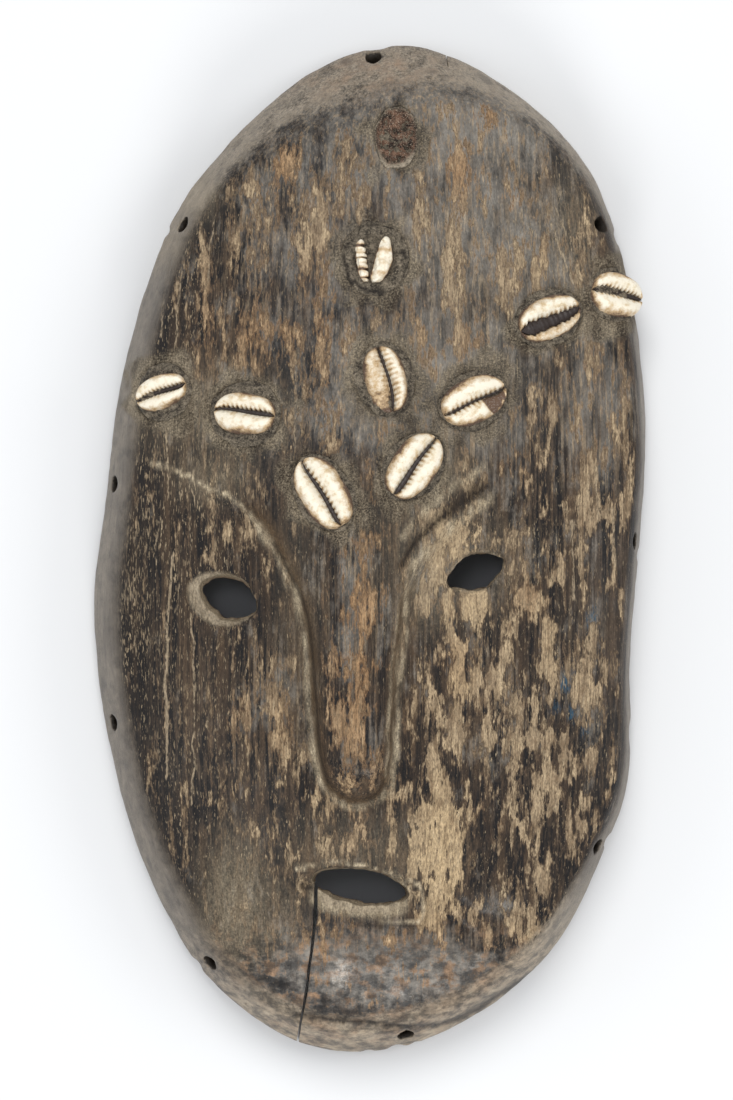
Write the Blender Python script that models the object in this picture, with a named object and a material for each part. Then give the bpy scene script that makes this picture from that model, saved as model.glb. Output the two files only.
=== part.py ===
"""Lega mask: a long oval face carved as a hollow wooden shell, with cowrie shells set in resin.

Metres, +Z up. The mask lies on its open back with the face up and the top of the head towards +Y.
The origin is at the centre of its footprint, on the surface that it lies on.
"""

import math
from collections import namedtuple

import bpy
import numpy as np
from mathutils import Matrix, Vector
from mathutils.geometry import delaunay_2d_cdt

# Wooden shell
MASK_LENGTH = 0.310
MASK_WIDTH = 0.170
EDGE_HEIGHT = 0.006
SHOULDER_HEIGHT = 0.027
CROWN = 0.019
WALL = 0.009
RIM_WIDTH = 0.007
HOLLOW_EASE = 0.013

# Width of the sloping border between the outer edge and the face
BORDER_LEFT = 0.010
BORDER_RIGHT = 0.0045
BORDER_TOP = 0.025
BORDER_BOTTOM = 0.014

# Groove where the chin meets the border
CHIN_GROOVE = 0.0016
CHIN_GROOVE_AT = 0.78
CHIN_GROOVE_SPREAD = 0.20
CHIN_GROOVE_START = 0.72
CHIN_GROOVE_FADE = 0.20

# Brow and nose
NOSE_RISE = 0.0105
NOSE_WALL = 0.0026
BROW_EASE = 0.006
NOSE_ROUNDING = 0.007
STEP_EDGE_SHARE = 0.8
EYE_HOLLOW = 0.0030
EYE_HOLLOW_RADIUS = 0.021

# Cords were tied through these holes along the edge
CORD_HOLE_DIAMETER = 0.0034
CORD_HOLE_REACH = 0.012
CORD_HOLE_SLOPE = math.radians(38)

# Shells and their resin beds
SOCKET_DEPTH = 0.0025
FIT_GAP = 0.0003
BED_RISE = 0.0010
SHELL_SEAT = 0.0012
SHELL_RISE = 0.0040
SLIT_WIDTH = 0.0014
SLIT_DEPTH = 0.0022
SHELL_FULLNESS = 2.4
SHELL_END_SHARE = 0.97
MAX_LEAN = math.radians(33)

# Split in the wood below the mouth
SPLIT_WIDTH = 0.0010

# Mesh densities
EDGE_POINTS = 84
FACE_SPACING = 0.0068
BACK_SPACING = 0.0115
FEATURE_SPACING = 0.0055
BED_SIDES = 16
HOLE_SIDES = 8
OPENING_SIDES = 20
FACE_RINGS = (0.12, 0.35, 0.65, 1.0)
HOLLOW_RINGS = (0.0, 0.2, 0.55, 1.0)
LOOSE_GAP_SHARE = 0.6
SHELL_SECTIONS = 9

# The oval seen from the front, counterclockwise, in halves of the mask's width and length
OUTLINE = (
    (0.975, 0.00), (1.000, 0.22), (0.955, 0.48), (0.835, 0.71), (0.646, 0.851), (0.360, 0.962),
    (0.090, 1.000), (-0.200, 0.950), (-0.480, 0.822), (-0.720, 0.645), (-0.885, 0.370), (-0.955, 0.100),
    (-0.997, -0.130), (-0.945, -0.380), (-0.830, -0.610), (-0.600, -0.845), (-0.280, -0.978),
    (0.050, -1.000), (0.370, -0.935), (0.660, -0.800), (0.860, -0.590), (0.940, -0.440), (0.945, -0.220),
)

# The upper edge of the step that runs along the left brow, round the nose and out along the right brow
BROW_LINE = (
    (-0.765, 0.172), (-0.614, 0.132), (-0.451, 0.076), (-0.354, 0.017), (-0.278, -0.072),
    (-0.227, -0.172), (-0.206, -0.301), (-0.184, -0.410), (-0.145, -0.475), (-0.054, -0.501),
    (0.030, -0.478), (0.061, -0.410), (0.076, -0.301), (0.094, -0.192), (0.116, -0.102),
    (0.199, -0.023), (0.307, 0.047), (0.440, 0.120),
)
NOSE_AXIS = -0.05
BROW_SPAN_LEFT = 0.72
BROW_SPAN_RIGHT = 0.50
BROW_TOP = 0.52
BROW_FULL = -0.10
NOSE_TIP_TOP = -0.40
NOSE_TIP_SHARE = 0.62

# Eyes and mouth: place and half-sizes at the back of the wall, tilt, and how far the front is wider and moved
Opening = namedtuple("Opening", "name u v half_length half_height tilt flare shift")
OPENINGS = (
    Opening("left_eye", -0.500, -0.096, 0.0086, 0.0058, -22, 0.0017, (-0.0016, 0.0002)),
    Opening("right_eye", 0.379, -0.045, 0.0092, 0.0052, 24, 0.0004, (0.0, 0.0)),
    Opening("mouth", -0.036, -0.662, 0.0146, 0.0052, -4, 0.0018, (-0.0002, -0.0008)),
)
EYES = OPENINGS[:2]
LENS_FULLNESS = 1.65

# Cord holes, as points on the sloping border
CORD_HOLES = (
    (0.011, 0.976), (-0.676, 0.640), (0.838, 0.640), (-0.925, 0.128), (0.955, 0.015),
    (-0.928, -0.345), (0.822, -0.589), (-0.580, -0.820), (0.130, -0.965),
)

# The split runs from the mouth's left corner down past the edge
SPLIT_LINE = ((-0.191, -0.655), (-0.202, -0.758), (-0.222, -0.847), (-0.242, -0.915), (-0.285, -1.060))
SPLIT_END_SHARE = 0.6

# Shells: place, size, turn from +X, size of the resin bed, extra depth, and the share of the length that is left
Setting = namedtuple("Setting", "name u v length width turn bed_length bed_width sink kept")
SETTINGS = (
    Setting("left_temple", -0.745, 0.307, 0.0165, 0.0108, 17, 0.0200, 0.0180, 0.0006, 1.0),
    Setting("left_brow", -0.444, 0.263, 0.0190, 0.0130, -8, 0.0235, 0.0210, 0.0, 1.0),
    Setting("nose_root_left", -0.166, 0.108, 0.0235, 0.0145, 122, 0.0265, 0.0185, 0.0, 1.0),
    Setting("forehead", 0.054, 0.329, 0.0205, 0.0130, 102, 0.0245, 0.0190, 0.0, 1.0),
    Setting("nose_root_right", 0.155, 0.160, 0.0222, 0.0140, 51, 0.0250, 0.0180, 0.0, 1.0),
    Setting("right_brow", 0.368, 0.289, 0.0210, 0.0138, 25, 0.0240, 0.0185, 0.0, 1.0),
    Setting("right_temple", 0.639, 0.452, 0.0203, 0.0128, 24, 0.0240, 0.0180, 0.0, 1.0),
    Setting("right_edge", 0.893, 0.500, 0.0180, 0.0142, -5, 0.0200, 0.0185, 0.0022, 1.0),
    Setting("upper_forehead", 0.018, 0.567, 0.0190, 0.0120, 90, 0.0235, 0.0225, 0.0, 0.62),
    Setting("crown", 0.094, 0.807, 0.0170, 0.0100, 90, 0.0210, 0.0140, 0.0, 0.0),
)


def smooth(t):
    """0 to 1 with no kink at either end."""
    t = np.clip(t, 0.0, 1.0)
    return t * t * (3 - 2 * t)


def place(points):
    """Shares of the half-width and half-length, as metres."""
    return np.asarray(points, float) * (MASK_WIDTH / 2, MASK_LENGTH / 2)


def curve_through(points, steps, closed):
    """A Catmull-Rom curve through the points, with steps pieces to a span."""
    p = np.asarray(points, float)
    if closed:
        p = np.vstack([p[-1], p, p[0], p[1]])
    else:
        p = np.vstack([2 * p[0] - p[1], p, 2 * p[-1] - p[-2]])
    t = np.arange(steps)[:, None] / steps
    spans = [
        0.5 * (2 * b + (c - a) * t + (2 * a - 5 * b + 4 * c - d) * t**2 + (3 * b - a - 3 * c + d) * t**3)
        for a, b, c, d in zip(p, p[1:], p[2:], p[3:])
    ]
    return np.vstack(spans if closed else [*spans, p[-2:-1]])


def even_points(line, count, closed):
    """Points at equal steps along a polyline."""
    path = np.vstack([line, line[:1]]) if closed else line
    run = np.concatenate([[0.0], np.cumsum(np.linalg.norm(np.diff(path, axis=0), axis=1))])
    at = np.linspace(0.0, run[-1], count + 1 if closed else count)
    points = np.column_stack([np.interp(at, run, path[:, k]) for k in (0, 1)])
    return points[:-1] if closed else points


def length_of(line):
    return float(np.linalg.norm(np.diff(line, axis=0), axis=1).sum())


def outline_curve():
    """The mask's outline, stretched to its exact length and width about the origin."""
    line = curve_through(OUTLINE, 12, closed=True)
    low, high = line.min(axis=0), line.max(axis=0)
    return place((line - (low + high) / 2) / ((high - low) / 2))


def distance_to(points, line, closed):
    """Distance from each point to a polyline."""
    starts = line if closed else line[:-1]
    ends = np.roll(line, -1, axis=0) if closed else line[1:]
    along = ends - starts
    offset = points[:, None, :] - starts[None]
    t = np.clip((offset * along).sum(2) / (along**2).sum(1), 0, 1)
    return np.linalg.norm(offset - t[..., None] * along, axis=2).min(axis=1)


def inside(points, loop):
    """Which points lie inside a closed polygon."""
    x, y = points[:, 0:1], points[:, 1:2]
    ax, ay = loop[:, 0], loop[:, 1]
    bx, by = np.roll(ax, -1), np.roll(ay, -1)
    crosses = (ay > y) != (by > y)
    rise = np.where(by == ay, 1.0, by - ay)
    return (crosses & (x < ax + (bx - ax) * (y - ay) / rise)).sum(axis=1) % 2 == 1


OUTLINE_CURVE = outline_curve()
BROW_CURVE = curve_through(place(BROW_LINE), 6, closed=False)
BROW_REGION = np.vstack([BROW_CURVE, place([(0.6, 1.2), (-0.9, 1.2)])])


def edge_distance(points):
    """Distance in from the outline, negative outside it."""
    d = distance_to(points, OUTLINE_CURVE, closed=True)
    return np.where(inside(points, OUTLINE_CURVE), d, -d)


def inward_normals(loop):
    """Unit normals of a counterclockwise loop, pointing in."""
    along = np.roll(loop, -1, axis=0) - np.roll(loop, 1, axis=0)
    normal = np.column_stack([-along[:, 1], along[:, 0]])
    return normal / np.linalg.norm(normal, axis=1)[:, None]


def border_width(points):
    """Width of the sloping border at the outline nearest to each point."""
    u, v = (points / (MASK_WIDTH / 2, MASK_LENGTH / 2)).T
    angle = np.arctan2(v, u)
    side = (BORDER_LEFT + BORDER_RIGHT) / 2 - (BORDER_LEFT - BORDER_RIGHT) / 2 * np.cos(angle)
    top = np.clip(np.sin(angle), 0, 1) ** 12
    bottom = np.clip(-np.sin(angle), 0, 1) ** 4
    return side + (BORDER_TOP - side) * top + (BORDER_BOTTOM - side) * bottom


def swell(points):
    """Height of the rounded face without its brow and nose, were it to run on past the border."""
    u, v = (points / (MASK_WIDTH / 2, MASK_LENGTH / 2)).T
    return SHOULDER_HEIGHT + CROWN * (1 - np.clip(u * u + v * v, 0, 1.2))


def brow_rise(points):
    """How far the forehead and nose stand over the plane of the eyes and cheeks."""
    u, v = (points / (MASK_WIDTH / 2, MASK_LENGTH / 2)).T
    aside = np.abs(u - NOSE_AXIS) / np.where(u < NOSE_AXIS, BROW_SPAN_LEFT, BROW_SPAN_RIGHT)
    height = NOSE_RISE * (1 - smooth(aside)) * smooth((BROW_TOP - v) / (BROW_TOP - BROW_FULL))
    tip = (v - BROW_LINE[9][1]) / (NOSE_TIP_TOP - BROW_LINE[9][1])
    height *= NOSE_TIP_SHARE + (1 - NOSE_TIP_SHARE) * smooth(tip)
    off = distance_to(points, BROW_CURVE, closed=False)
    within = inside(points, BROW_REGION)
    wall = NOSE_WALL + BROW_EASE * aside
    rounded = 1 - (1 - STEP_EDGE_SHARE) * (1 - np.clip(off / NOSE_ROUNDING, 0, 1)) ** 2
    return height * np.where(within, rounded, STEP_EDGE_SHARE * (1 - smooth(off / wall)))


def eye_hollows(points):
    """Depth of the shallow hollows round the eyes, outside the brow line."""
    off = distance_to(points, BROW_CURVE, closed=False)
    fade = np.where(inside(points, BROW_REGION), 0.0, smooth(off / EYE_HOLLOW_RADIUS * 2))
    depth = np.zeros(len(points))
    for eye in EYES:
        from_eye = np.linalg.norm(points - place((eye.u, eye.v)), axis=1)
        depth += EYE_HOLLOW * np.exp(-((from_eye / EYE_HOLLOW_RADIUS) ** 2))
    return depth * fade


def chin_groove(points, across):
    """Depth of the groove between the chin and the border. It fades out up the sides."""
    low = -points[:, 1] / (MASK_LENGTH / 2)
    reach = smooth((low - CHIN_GROOVE_START) / CHIN_GROOVE_FADE)
    return CHIN_GROOVE * reach * np.exp(-(((across - CHIN_GROOVE_AT) / CHIN_GROOVE_SPREAD) ** 2))


def face_height(points):
    """Height of the carved front over the surface that the mask lies on."""
    points = np.atleast_2d(points)
    across = edge_distance(points) / border_width(points)
    shoulder = EDGE_HEIGHT + (swell(points) - EDGE_HEIGHT) * (1 - (1 - np.clip(across, 0, 1)) ** 2)
    return shoulder - chin_groove(points, across) + brow_rise(points) - eye_hollows(points)


def hollow_height(points):
    """Height of the hollowed back: flat along the rim, then up behind the face."""
    points = np.atleast_2d(points)
    across = np.clip((edge_distance(points) - RIM_WIDTH) / HOLLOW_EASE, 0, 1)
    return (swell(points) - WALL) * (1 - (1 - across) ** 2)


def lattice(spacing, margin, keep_clear):
    """Points in staggered rows that stay clear of the outline and of the feature points."""
    half_x, half_y = MASK_WIDTH / 2, MASK_LENGTH / 2
    rows = []
    row_step = spacing * math.sqrt(3) / 2
    for k, y in enumerate(np.arange(-half_y, half_y, row_step)):
        x = np.arange(-half_x + (k % 2) * spacing / 2, half_x, spacing)
        rows.append(np.column_stack([x, np.full(len(x), y)]))
    points = np.vstack(rows)
    points = points[edge_distance(points) > margin(points) + spacing * LOOSE_GAP_SHARE]
    gap = np.linalg.norm(points[:, None] - keep_clear[None], axis=2).min(axis=1)
    return points[gap > spacing * LOOSE_GAP_SHARE]


def triangulate(loops, lines, loose):
    """Constrained Delaunay triangles inside the first loop. Returns points and faces."""
    points, edges = [], []
    for line, closed in [*((loop, True) for loop in loops), *((line, False) for line in lines)]:
        first, count = sum(map(len, points)), len(line)
        points.append(line)
        last = count if closed else count - 1
        edges += [(first + k, first + (k + 1) % count) for k in range(last)]
    flat = np.vstack([*points, loose])
    made = delaunay_2d_cdt([Vector(p) for p in flat], edges, [], 1, 1e-7)
    return np.array([tuple(p) for p in made[0]]), made[2]


def offset_line(line, width):
    """The brow line moved out towards the eyes and cheeks, by a width at each point."""
    along = np.gradient(line, axis=0)
    normal = np.column_stack([along[:, 1], -along[:, 0]])
    return line + normal / np.linalg.norm(normal, axis=1)[:, None] * width[:, None]


def face_surface(edge):
    """Points and triangles of the front, with edges along the border, the brows and the nose."""
    normals = inward_normals(edge)
    width = border_width(edge)[:, None]
    rings = [edge + normals * width * share for share in FACE_RINGS]
    crest = even_points(BROW_CURVE, round(length_of(BROW_CURVE) / FEATURE_SPACING), closed=False)
    aside = np.abs(crest[:, 0] / (MASK_WIDTH / 2) - NOSE_AXIS)
    foot = offset_line(crest, NOSE_WALL + BROW_EASE * aside)
    keep_clear = np.vstack([rings[-1], crest, foot])
    loose = lattice(FACE_SPACING, border_width, keep_clear)
    return triangulate([edge, *rings], [crest, foot], loose)


def back_surface(edge):
    """Points and triangles of the back, with edges along the rim and up into the hollow."""
    normals = inward_normals(edge)
    rings = [edge + normals * (RIM_WIDTH + HOLLOW_EASE * share) for share in HOLLOW_RINGS]
    loose = lattice(BACK_SPACING, lambda p: np.full(len(p), RIM_WIDTH + HOLLOW_EASE), rings[-1])
    return triangulate([edge, *rings], [], loose)


def wood_mesh():
    """The closed wooden shell before its holes are cut: front, back and the upright outer edge."""
    edge = even_points(OUTLINE_CURVE, EDGE_POINTS, closed=True)
    front, front_faces = face_surface(edge)
    back, back_faces = back_surface(edge)
    count, first_back = len(edge), len(front)
    heights = np.concatenate([face_height(front), hollow_height(back)])
    heights[:count] = EDGE_HEIGHT
    heights[first_back:first_back + count] = 0.0
    vertices = np.column_stack([np.vstack([front, back]), heights])
    faces = [tuple(face) for face in front_faces]
    faces += [tuple(first_back + k for k in reversed(face)) for face in back_faces]
    for k in range(count):
        after = (k + 1) % count
        faces.append((k, first_back + k, first_back + after, after))
    return vertices, faces


def superellipse(half_length, half_width, fullness, sides):
    """A closed loop, pointed below a fullness of 2 and squarer above it."""
    angle = 2 * math.pi * np.arange(sides) / sides
    c, s = np.cos(angle), np.sin(angle)
    x = half_length * np.sign(c) * np.abs(c) ** (2 / fullness)
    y = half_width * np.sign(s) * np.abs(s) ** (2 / fullness)
    return np.column_stack([x, y])


def loft(rings):
    """A closed solid through rings of the same count, each an array of points, capped at both ends."""
    count = len(rings[0])
    faces = [tuple(reversed(range(count)))]
    for r in range(len(rings) - 1):
        low, high = r * count, (r + 1) * count
        for k in range(count):
            after = (k + 1) % count
            faces.append((low + k, low + after, high + after, high + k))
    top = (len(rings) - 1) * count
    faces.append(tuple(top + k for k in range(count)))
    return np.vstack(rings), faces


def level_ring(loop, height):
    return np.column_stack([loop, np.full(len(loop), height)])


def joined(solids):
    """Several solids as one list of points and faces."""
    vertices, faces, first = [], [], 0
    for points, polygons in solids:
        vertices.append(points)
        faces += [tuple(first + k for k in polygon) for polygon in polygons]
        first += len(points)
    return np.vstack(vertices), faces


def opening_solid(opening):
    """The space of an eye or the mouth: straight behind the wall and flared through it."""
    centre = place((opening.u, opening.v))
    tilt = math.radians(opening.tilt)
    turn = np.array([[math.cos(tilt), math.sin(tilt)], [-math.sin(tilt), math.cos(tilt)]])
    back = float(hollow_height(centre)[0])
    front = float(face_height(centre)[0])
    rings = []
    for height, share in ((0.0, 0.0), (back, 0.0), (front, 1.0), (2 * front - back, 2.0)):
        grow = opening.flare * share
        loop = superellipse(
            opening.half_length + grow, opening.half_height + grow, LENS_FULLNESS, OPENING_SIDES
        )
        rings.append(level_ring(loop @ turn + centre + np.array(opening.shift) * share, height))
    return loft(rings)


def split_solid():
    """The open split, a thin upright blade that narrows towards the edge."""
    line = place(SPLIT_LINE)
    width = np.linspace(1.0, SPLIT_END_SHARE, len(line))[:, None] * SPLIT_WIDTH / 2
    along = np.gradient(line, axis=0)
    across = np.column_stack([along[:, 1], -along[:, 0]])
    across /= np.linalg.norm(across, axis=1)[:, None]
    loop = np.vstack([line + across * width, (line - across * width)[::-1]])
    top = SHOULDER_HEIGHT + CROWN + NOSE_RISE
    return loft([level_ring(loop, -EDGE_HEIGHT), level_ring(loop, top)])


def face_slope(point, step):
    """Upward normal of the front, from heights a step to each side of a point."""
    x, y = point
    around = [(x - step, y), (x + step, y), (x, y - step), (x, y + step)]
    west, east, south, north = face_height(around)
    return Vector((west - east, south - north, 2 * step)).normalized()


def cord_hole_solid(share):
    """A slanting hole through the border, from outside the edge down into the hollow."""
    point = place(share)
    nearest = int(np.argmin(np.linalg.norm(OUTLINE_CURVE - point, axis=1)))
    out = -inward_normals(OUTLINE_CURVE)[nearest]
    axis = Vector((*(out * math.cos(CORD_HOLE_SLOPE)), math.sin(CORD_HOLE_SLOPE)))
    mouth = Vector((*point, float(face_height(point)[0])))
    loop = superellipse(CORD_HOLE_DIAMETER / 2, CORD_HOLE_DIAMETER / 2, 2, HOLE_SIDES)
    points, faces = loft([level_ring(loop, -CORD_HOLE_REACH), level_ring(loop, CORD_HOLE_REACH / 2)])
    turn = axis.to_track_quat("Z", "Y").to_matrix().to_4x4()
    return moved(points, Matrix.Translation(mouth) @ turn), faces


def moved(points, matrix):
    m = np.array(matrix)
    return points @ m[:3, :3].T + m[:3, 3]


def seat(setting):
    """Frame of a shell on the wood: X along the shell, Z out of the face, origin on the surface."""
    point = place((setting.u, setting.v))
    normal = face_slope(point, setting.width / 2)
    lean = normal.angle(Vector((0, 0, 1)))
    if lean > MAX_LEAN:
        normal = Vector((0, 0, 1)).slerp(normal, MAX_LEAN / lean)
    turn = math.radians(setting.turn)
    along = Vector((math.cos(turn), math.sin(turn), 0))
    along = (along - normal * along.dot(normal)).normalized()
    across = normal.cross(along)
    origin = Vector((*point, float(face_height(point)[0]))) - normal * setting.sink
    axes = Matrix((along, across, normal)).transposed().to_4x4()
    return Matrix.Translation(origin) @ axes


def socket_solid(setting):
    """The pocket in the wood that holds a resin bed, open upwards."""
    loop = superellipse(setting.bed_length / 2 + FIT_GAP, setting.bed_width / 2 + FIT_GAP, 2, BED_SIDES)
    high = SHOULDER_HEIGHT / 2
    points, faces = loft([level_ring(loop, -SOCKET_DEPTH), level_ring(loop, high)])
    return moved(points, seat(setting)), faces


def kept_loop(setting, gap, sides):
    """Outline of what is left of a shell, grown by a gap, cut square where it is broken."""
    loop = superellipse(setting.length / 2 + gap, setting.width / 2 + gap, SHELL_FULLNESS, sides)
    broken_end = setting.length * (setting.kept - 0.5) + gap
    loop[:, 0] = np.minimum(loop[:, 0], broken_end)
    return loop


def bed_solid(setting):
    """A resin bed: a low ring round the shell's seat, or a dished patch where the shell is lost."""
    outer = superellipse(setting.bed_length / 2, setting.bed_width / 2, 2, BED_SIDES)
    floor = -SOCKET_DEPTH + FIT_GAP
    if setting.kept == 0:
        inner = superellipse(setting.length / 2, setting.width / 2, 2, BED_SIDES)
        rings = [
            level_ring(outer, floor), level_ring(outer, 0.0),
            level_ring(inner, -BED_RISE / 2), level_ring(inner * 0.5, -BED_RISE),
        ]
        return loft(rings)
    inner = kept_loop(setting, FIT_GAP, BED_SIDES)
    rings = [
        level_ring(outer, floor),
        level_ring(outer, BED_RISE * 0.2),
        level_ring((outer + inner) / 2, BED_RISE),
        level_ring(inner, BED_RISE * 0.8),
        level_ring(inner, -SHELL_SEAT - FIT_GAP),
    ]
    return loft(rings)


def shell_section(half_width, height):
    """Half-round lips on both sides of the slit, from the left foot over the top to the right foot."""
    slit = min(SLIT_WIDTH, half_width * 0.6) / 2
    half = [
        (1.0, -SHELL_SEAT), (1.0, height * 0.35), (0.84, height * 0.72), (0.5, height),
        (slit / half_width + 0.12, height * 0.9), (slit / half_width, height * 0.62),
    ]
    left = [(-half_width * x, z) for x, z in half]
    bottom = [(0.0, height * 0.9 - min(SLIT_DEPTH, height * 0.8))]
    return np.array([*left, *bottom, *((-x, z) for x, z in reversed(left))])


def shell_solid(setting):
    """A cowrie, slit side up, lofted through sections along its length."""
    last = min(SHELL_END_SHARE, setting.kept * 2 - 1)
    angles = np.linspace(math.acos(-SHELL_END_SHARE), math.acos(last), SHELL_SECTIONS)
    rings = []
    for s in np.cos(angles):
        half_width = setting.width / 2 * (1 - abs(s) ** SHELL_FULLNESS) ** (1 / SHELL_FULLNESS)
        height = SHELL_RISE * (1 - 0.55 * abs(s) ** 3)
        section = shell_section(half_width, height)
        x = np.full(len(section), s * setting.length / 2)
        rings.append(np.column_stack([x, section[:, 0], section[:, 1]])[::-1])
    points, faces = loft(rings)
    return points, faces


def material(name, colour, roughness):
    made = bpy.data.materials.new(name)
    made.use_nodes = True
    shader = made.node_tree.nodes["Principled BSDF"]
    shader.inputs["Base Color"].default_value = (*colour, 1.0)
    shader.inputs["Roughness"].default_value = roughness
    shader.inputs["Metallic"].default_value = 0.0
    return made


def add_object(name, solid, finish=None):
    points, faces = solid
    mesh = bpy.data.meshes.new(name)
    mesh.from_pydata([tuple(p) for p in points], [], faces)
    mesh.update()
    if finish:
        mesh.materials.append(finish)
        mesh.shade_smooth()
        mesh.set_sharp_from_angle(angle=math.radians(40))
    made = bpy.data.objects.new(name, mesh)
    bpy.context.scene.collection.objects.link(made)
    return made


def cut_from(wood, name, solid):
    """Cuts a solid out of the wood with a Boolean that stays on it."""
    cutter = add_object(name, solid)
    cutter.hide_render = True
    cutter.display_type = "WIRE"
    modifier = wood.modifiers.new(name, "BOOLEAN")
    modifier.operation = "DIFFERENCE"
    modifier.object = cutter


def build_wood(parent, finish):
    wood = add_object("mask", wood_mesh(), finish)
    wood.parent = parent
    cut_from(wood, "cut_sockets", joined(socket_solid(s) for s in SETTINGS))
    cut_from(wood, "cut_openings", joined(opening_solid(o) for o in OPENINGS))
    cut_from(wood, "cut_cord_holes", joined(cord_hole_solid(h) for h in CORD_HOLES))
    cut_from(wood, "cut_split", split_solid())


def build_settings(parent, resin, shell):
    for setting in SETTINGS:
        pieces = [add_object("resin_" + setting.name, bed_solid(setting), resin)]
        if setting.kept > 0:
            pieces.append(add_object("cowrie_" + setting.name, shell_solid(setting), shell))
        for piece in pieces:
            piece.parent = parent
            piece.matrix_local = seat(setting)


def main():
    for old in list(bpy.data.objects):
        bpy.data.objects.remove(old)
    mask = bpy.data.objects.new("lega_mask", None)
    bpy.context.scene.collection.objects.link(mask)
    build_wood(mask, material("patinated_wood", (0.075, 0.055, 0.042), 0.62))
    resin = material("resin", (0.10, 0.085, 0.07), 0.8)
    build_settings(mask, resin, material("cowrie", (0.80, 0.72, 0.56), 0.35))


main()
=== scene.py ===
"""Looks of the lega mask: worn and blackened carved wood, with stained cowrie shells in gritty resin."""

import itertools
import math
from collections import namedtuple

import bpy
import numpy as np
from mathutils import Matrix, Vector
from mathutils.geometry import delaunay_2d_cdt
from mathutils.kdtree import KDTree


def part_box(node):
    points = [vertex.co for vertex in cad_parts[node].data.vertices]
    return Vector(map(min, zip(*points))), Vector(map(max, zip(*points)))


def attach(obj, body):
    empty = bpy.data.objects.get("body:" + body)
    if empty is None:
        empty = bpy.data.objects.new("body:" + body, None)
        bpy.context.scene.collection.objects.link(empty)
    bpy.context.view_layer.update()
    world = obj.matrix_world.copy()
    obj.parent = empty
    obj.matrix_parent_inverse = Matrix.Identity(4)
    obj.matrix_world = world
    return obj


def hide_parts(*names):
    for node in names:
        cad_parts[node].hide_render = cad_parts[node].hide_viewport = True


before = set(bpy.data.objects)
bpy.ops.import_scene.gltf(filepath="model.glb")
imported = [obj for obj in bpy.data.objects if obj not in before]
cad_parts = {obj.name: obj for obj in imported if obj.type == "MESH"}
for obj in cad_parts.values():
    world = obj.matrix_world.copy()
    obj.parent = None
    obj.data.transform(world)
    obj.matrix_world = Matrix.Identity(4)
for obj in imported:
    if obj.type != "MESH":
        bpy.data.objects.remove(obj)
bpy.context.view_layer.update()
MM = 0.001
LOW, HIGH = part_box("mask")
MASK_WIDTH = HIGH.x - LOW.x
MASK_LENGTH = HIGH.y - LOW.y
HALF = np.array([MASK_WIDTH / 2, MASK_LENGTH / 2])

# The form that the wood shares with the solids
EDGE_HEIGHT = 0.006
SHOULDER_HEIGHT = 0.027
CROWN = 0.019
WALL = 0.009
RIM_WIDTH = 0.007
HOLLOW_EASE = 0.013
BORDER_LEFT = 0.010
BORDER_RIGHT = 0.0045
BORDER_TOP = 0.025
BORDER_BOTTOM = 0.014
CHIN_GROOVE = 0.0016
CHIN_GROOVE_AT = 0.78
CHIN_GROOVE_SPREAD = 0.20
CHIN_GROOVE_START = 0.72
CHIN_GROOVE_FADE = 0.20
NOSE_RISE = 0.0105
NOSE_WALL = 0.0013
BROW_EASE = 0.006
NOSE_ROUNDING = 0.007
STEP_EDGE_SHARE = 0.8
EYE_HOLLOW = 0.0030
EYE_HOLLOW_RADIUS = 0.021
CORD_HOLE_DIAMETER = 0.0034
CORD_HOLE_REACH = 0.012
CORD_HOLE_SLOPE = math.radians(38)
SOCKET_DEPTH = 0.0025
BED_RISE = 0.0010
SHELL_SEAT = 0.0012
SHELL_RISE = 0.0040
SHELL_FULLNESS = 2.4
MAX_LEAN = math.radians(33)
SPLIT_WIDTH = 0.0010
SPLIT_END_SHARE = 0.6
OUTLINE = (
    (0.975, 0.00), (1.000, 0.22), (0.955, 0.48), (0.835, 0.71), (0.646, 0.851), (0.360, 0.962),
    (0.090, 1.000), (-0.200, 0.950), (-0.480, 0.822), (-0.720, 0.645), (-0.885, 0.370), (-0.955, 0.100),
    (-0.997, -0.130), (-0.945, -0.380), (-0.830, -0.610), (-0.600, -0.845), (-0.280, -0.978),
    (0.050, -1.000), (0.370, -0.935), (0.660, -0.800), (0.860, -0.590), (0.940, -0.440), (0.945, -0.220),
)
BROW_LINE = (
    (-0.765, 0.172), (-0.614, 0.134), (-0.441, 0.094), (-0.343, 0.036), (-0.252, -0.064),
    (-0.200, -0.172), (-0.184, -0.301), (-0.167, -0.410), (-0.133, -0.466), (-0.054, -0.490),
    (0.026, -0.470), (0.055, -0.410), (0.069, -0.301), (0.086, -0.192), (0.104, -0.097),
    (0.180, -0.012), (0.292, 0.058), (0.440, 0.120),
)
NOSE_AXIS = -0.05
BROW_SPAN_LEFT = 0.72
BROW_SPAN_RIGHT = 0.50
BROW_TOP = 0.52
BROW_FULL = -0.10
NOSE_TIP_TOP = -0.40
NOSE_TIP_SHARE = 0.62
Opening = namedtuple("Opening", "name u v half_length half_height tilt flare shift fullness")
OPENINGS = (
    Opening("left_eye", -0.500, -0.096, 0.0086, 0.0058, -22, 0.0017, (-0.0016, 0.0002), 1.65),
    Opening("right_eye", 0.379, -0.045, 0.0092, 0.0052, 24, 0.0004, (0.0, 0.0), 1.55),
    Opening("mouth", -0.036, -0.662, 0.0142, 0.0049, -9, 0.0010, (0.0, -0.0003), 1.9),
)
EYES = OPENINGS[:2]
CORD_HOLES = (
    (0.011, 0.976), (-0.676, 0.640), (0.838, 0.640), (-0.925, 0.128), (0.955, 0.015),
    (-0.928, -0.345), (0.822, -0.589), (-0.580, -0.820), (0.130, -0.965),
)
TOP_SPLIT_LINE = ((23.4, 157.0), (23.4, 151.5), (23.9, 147.5))
TOP_SPLIT_WIDTH = 0.0005
TOP_SPLIT_END_SHARE = 0.3
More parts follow.
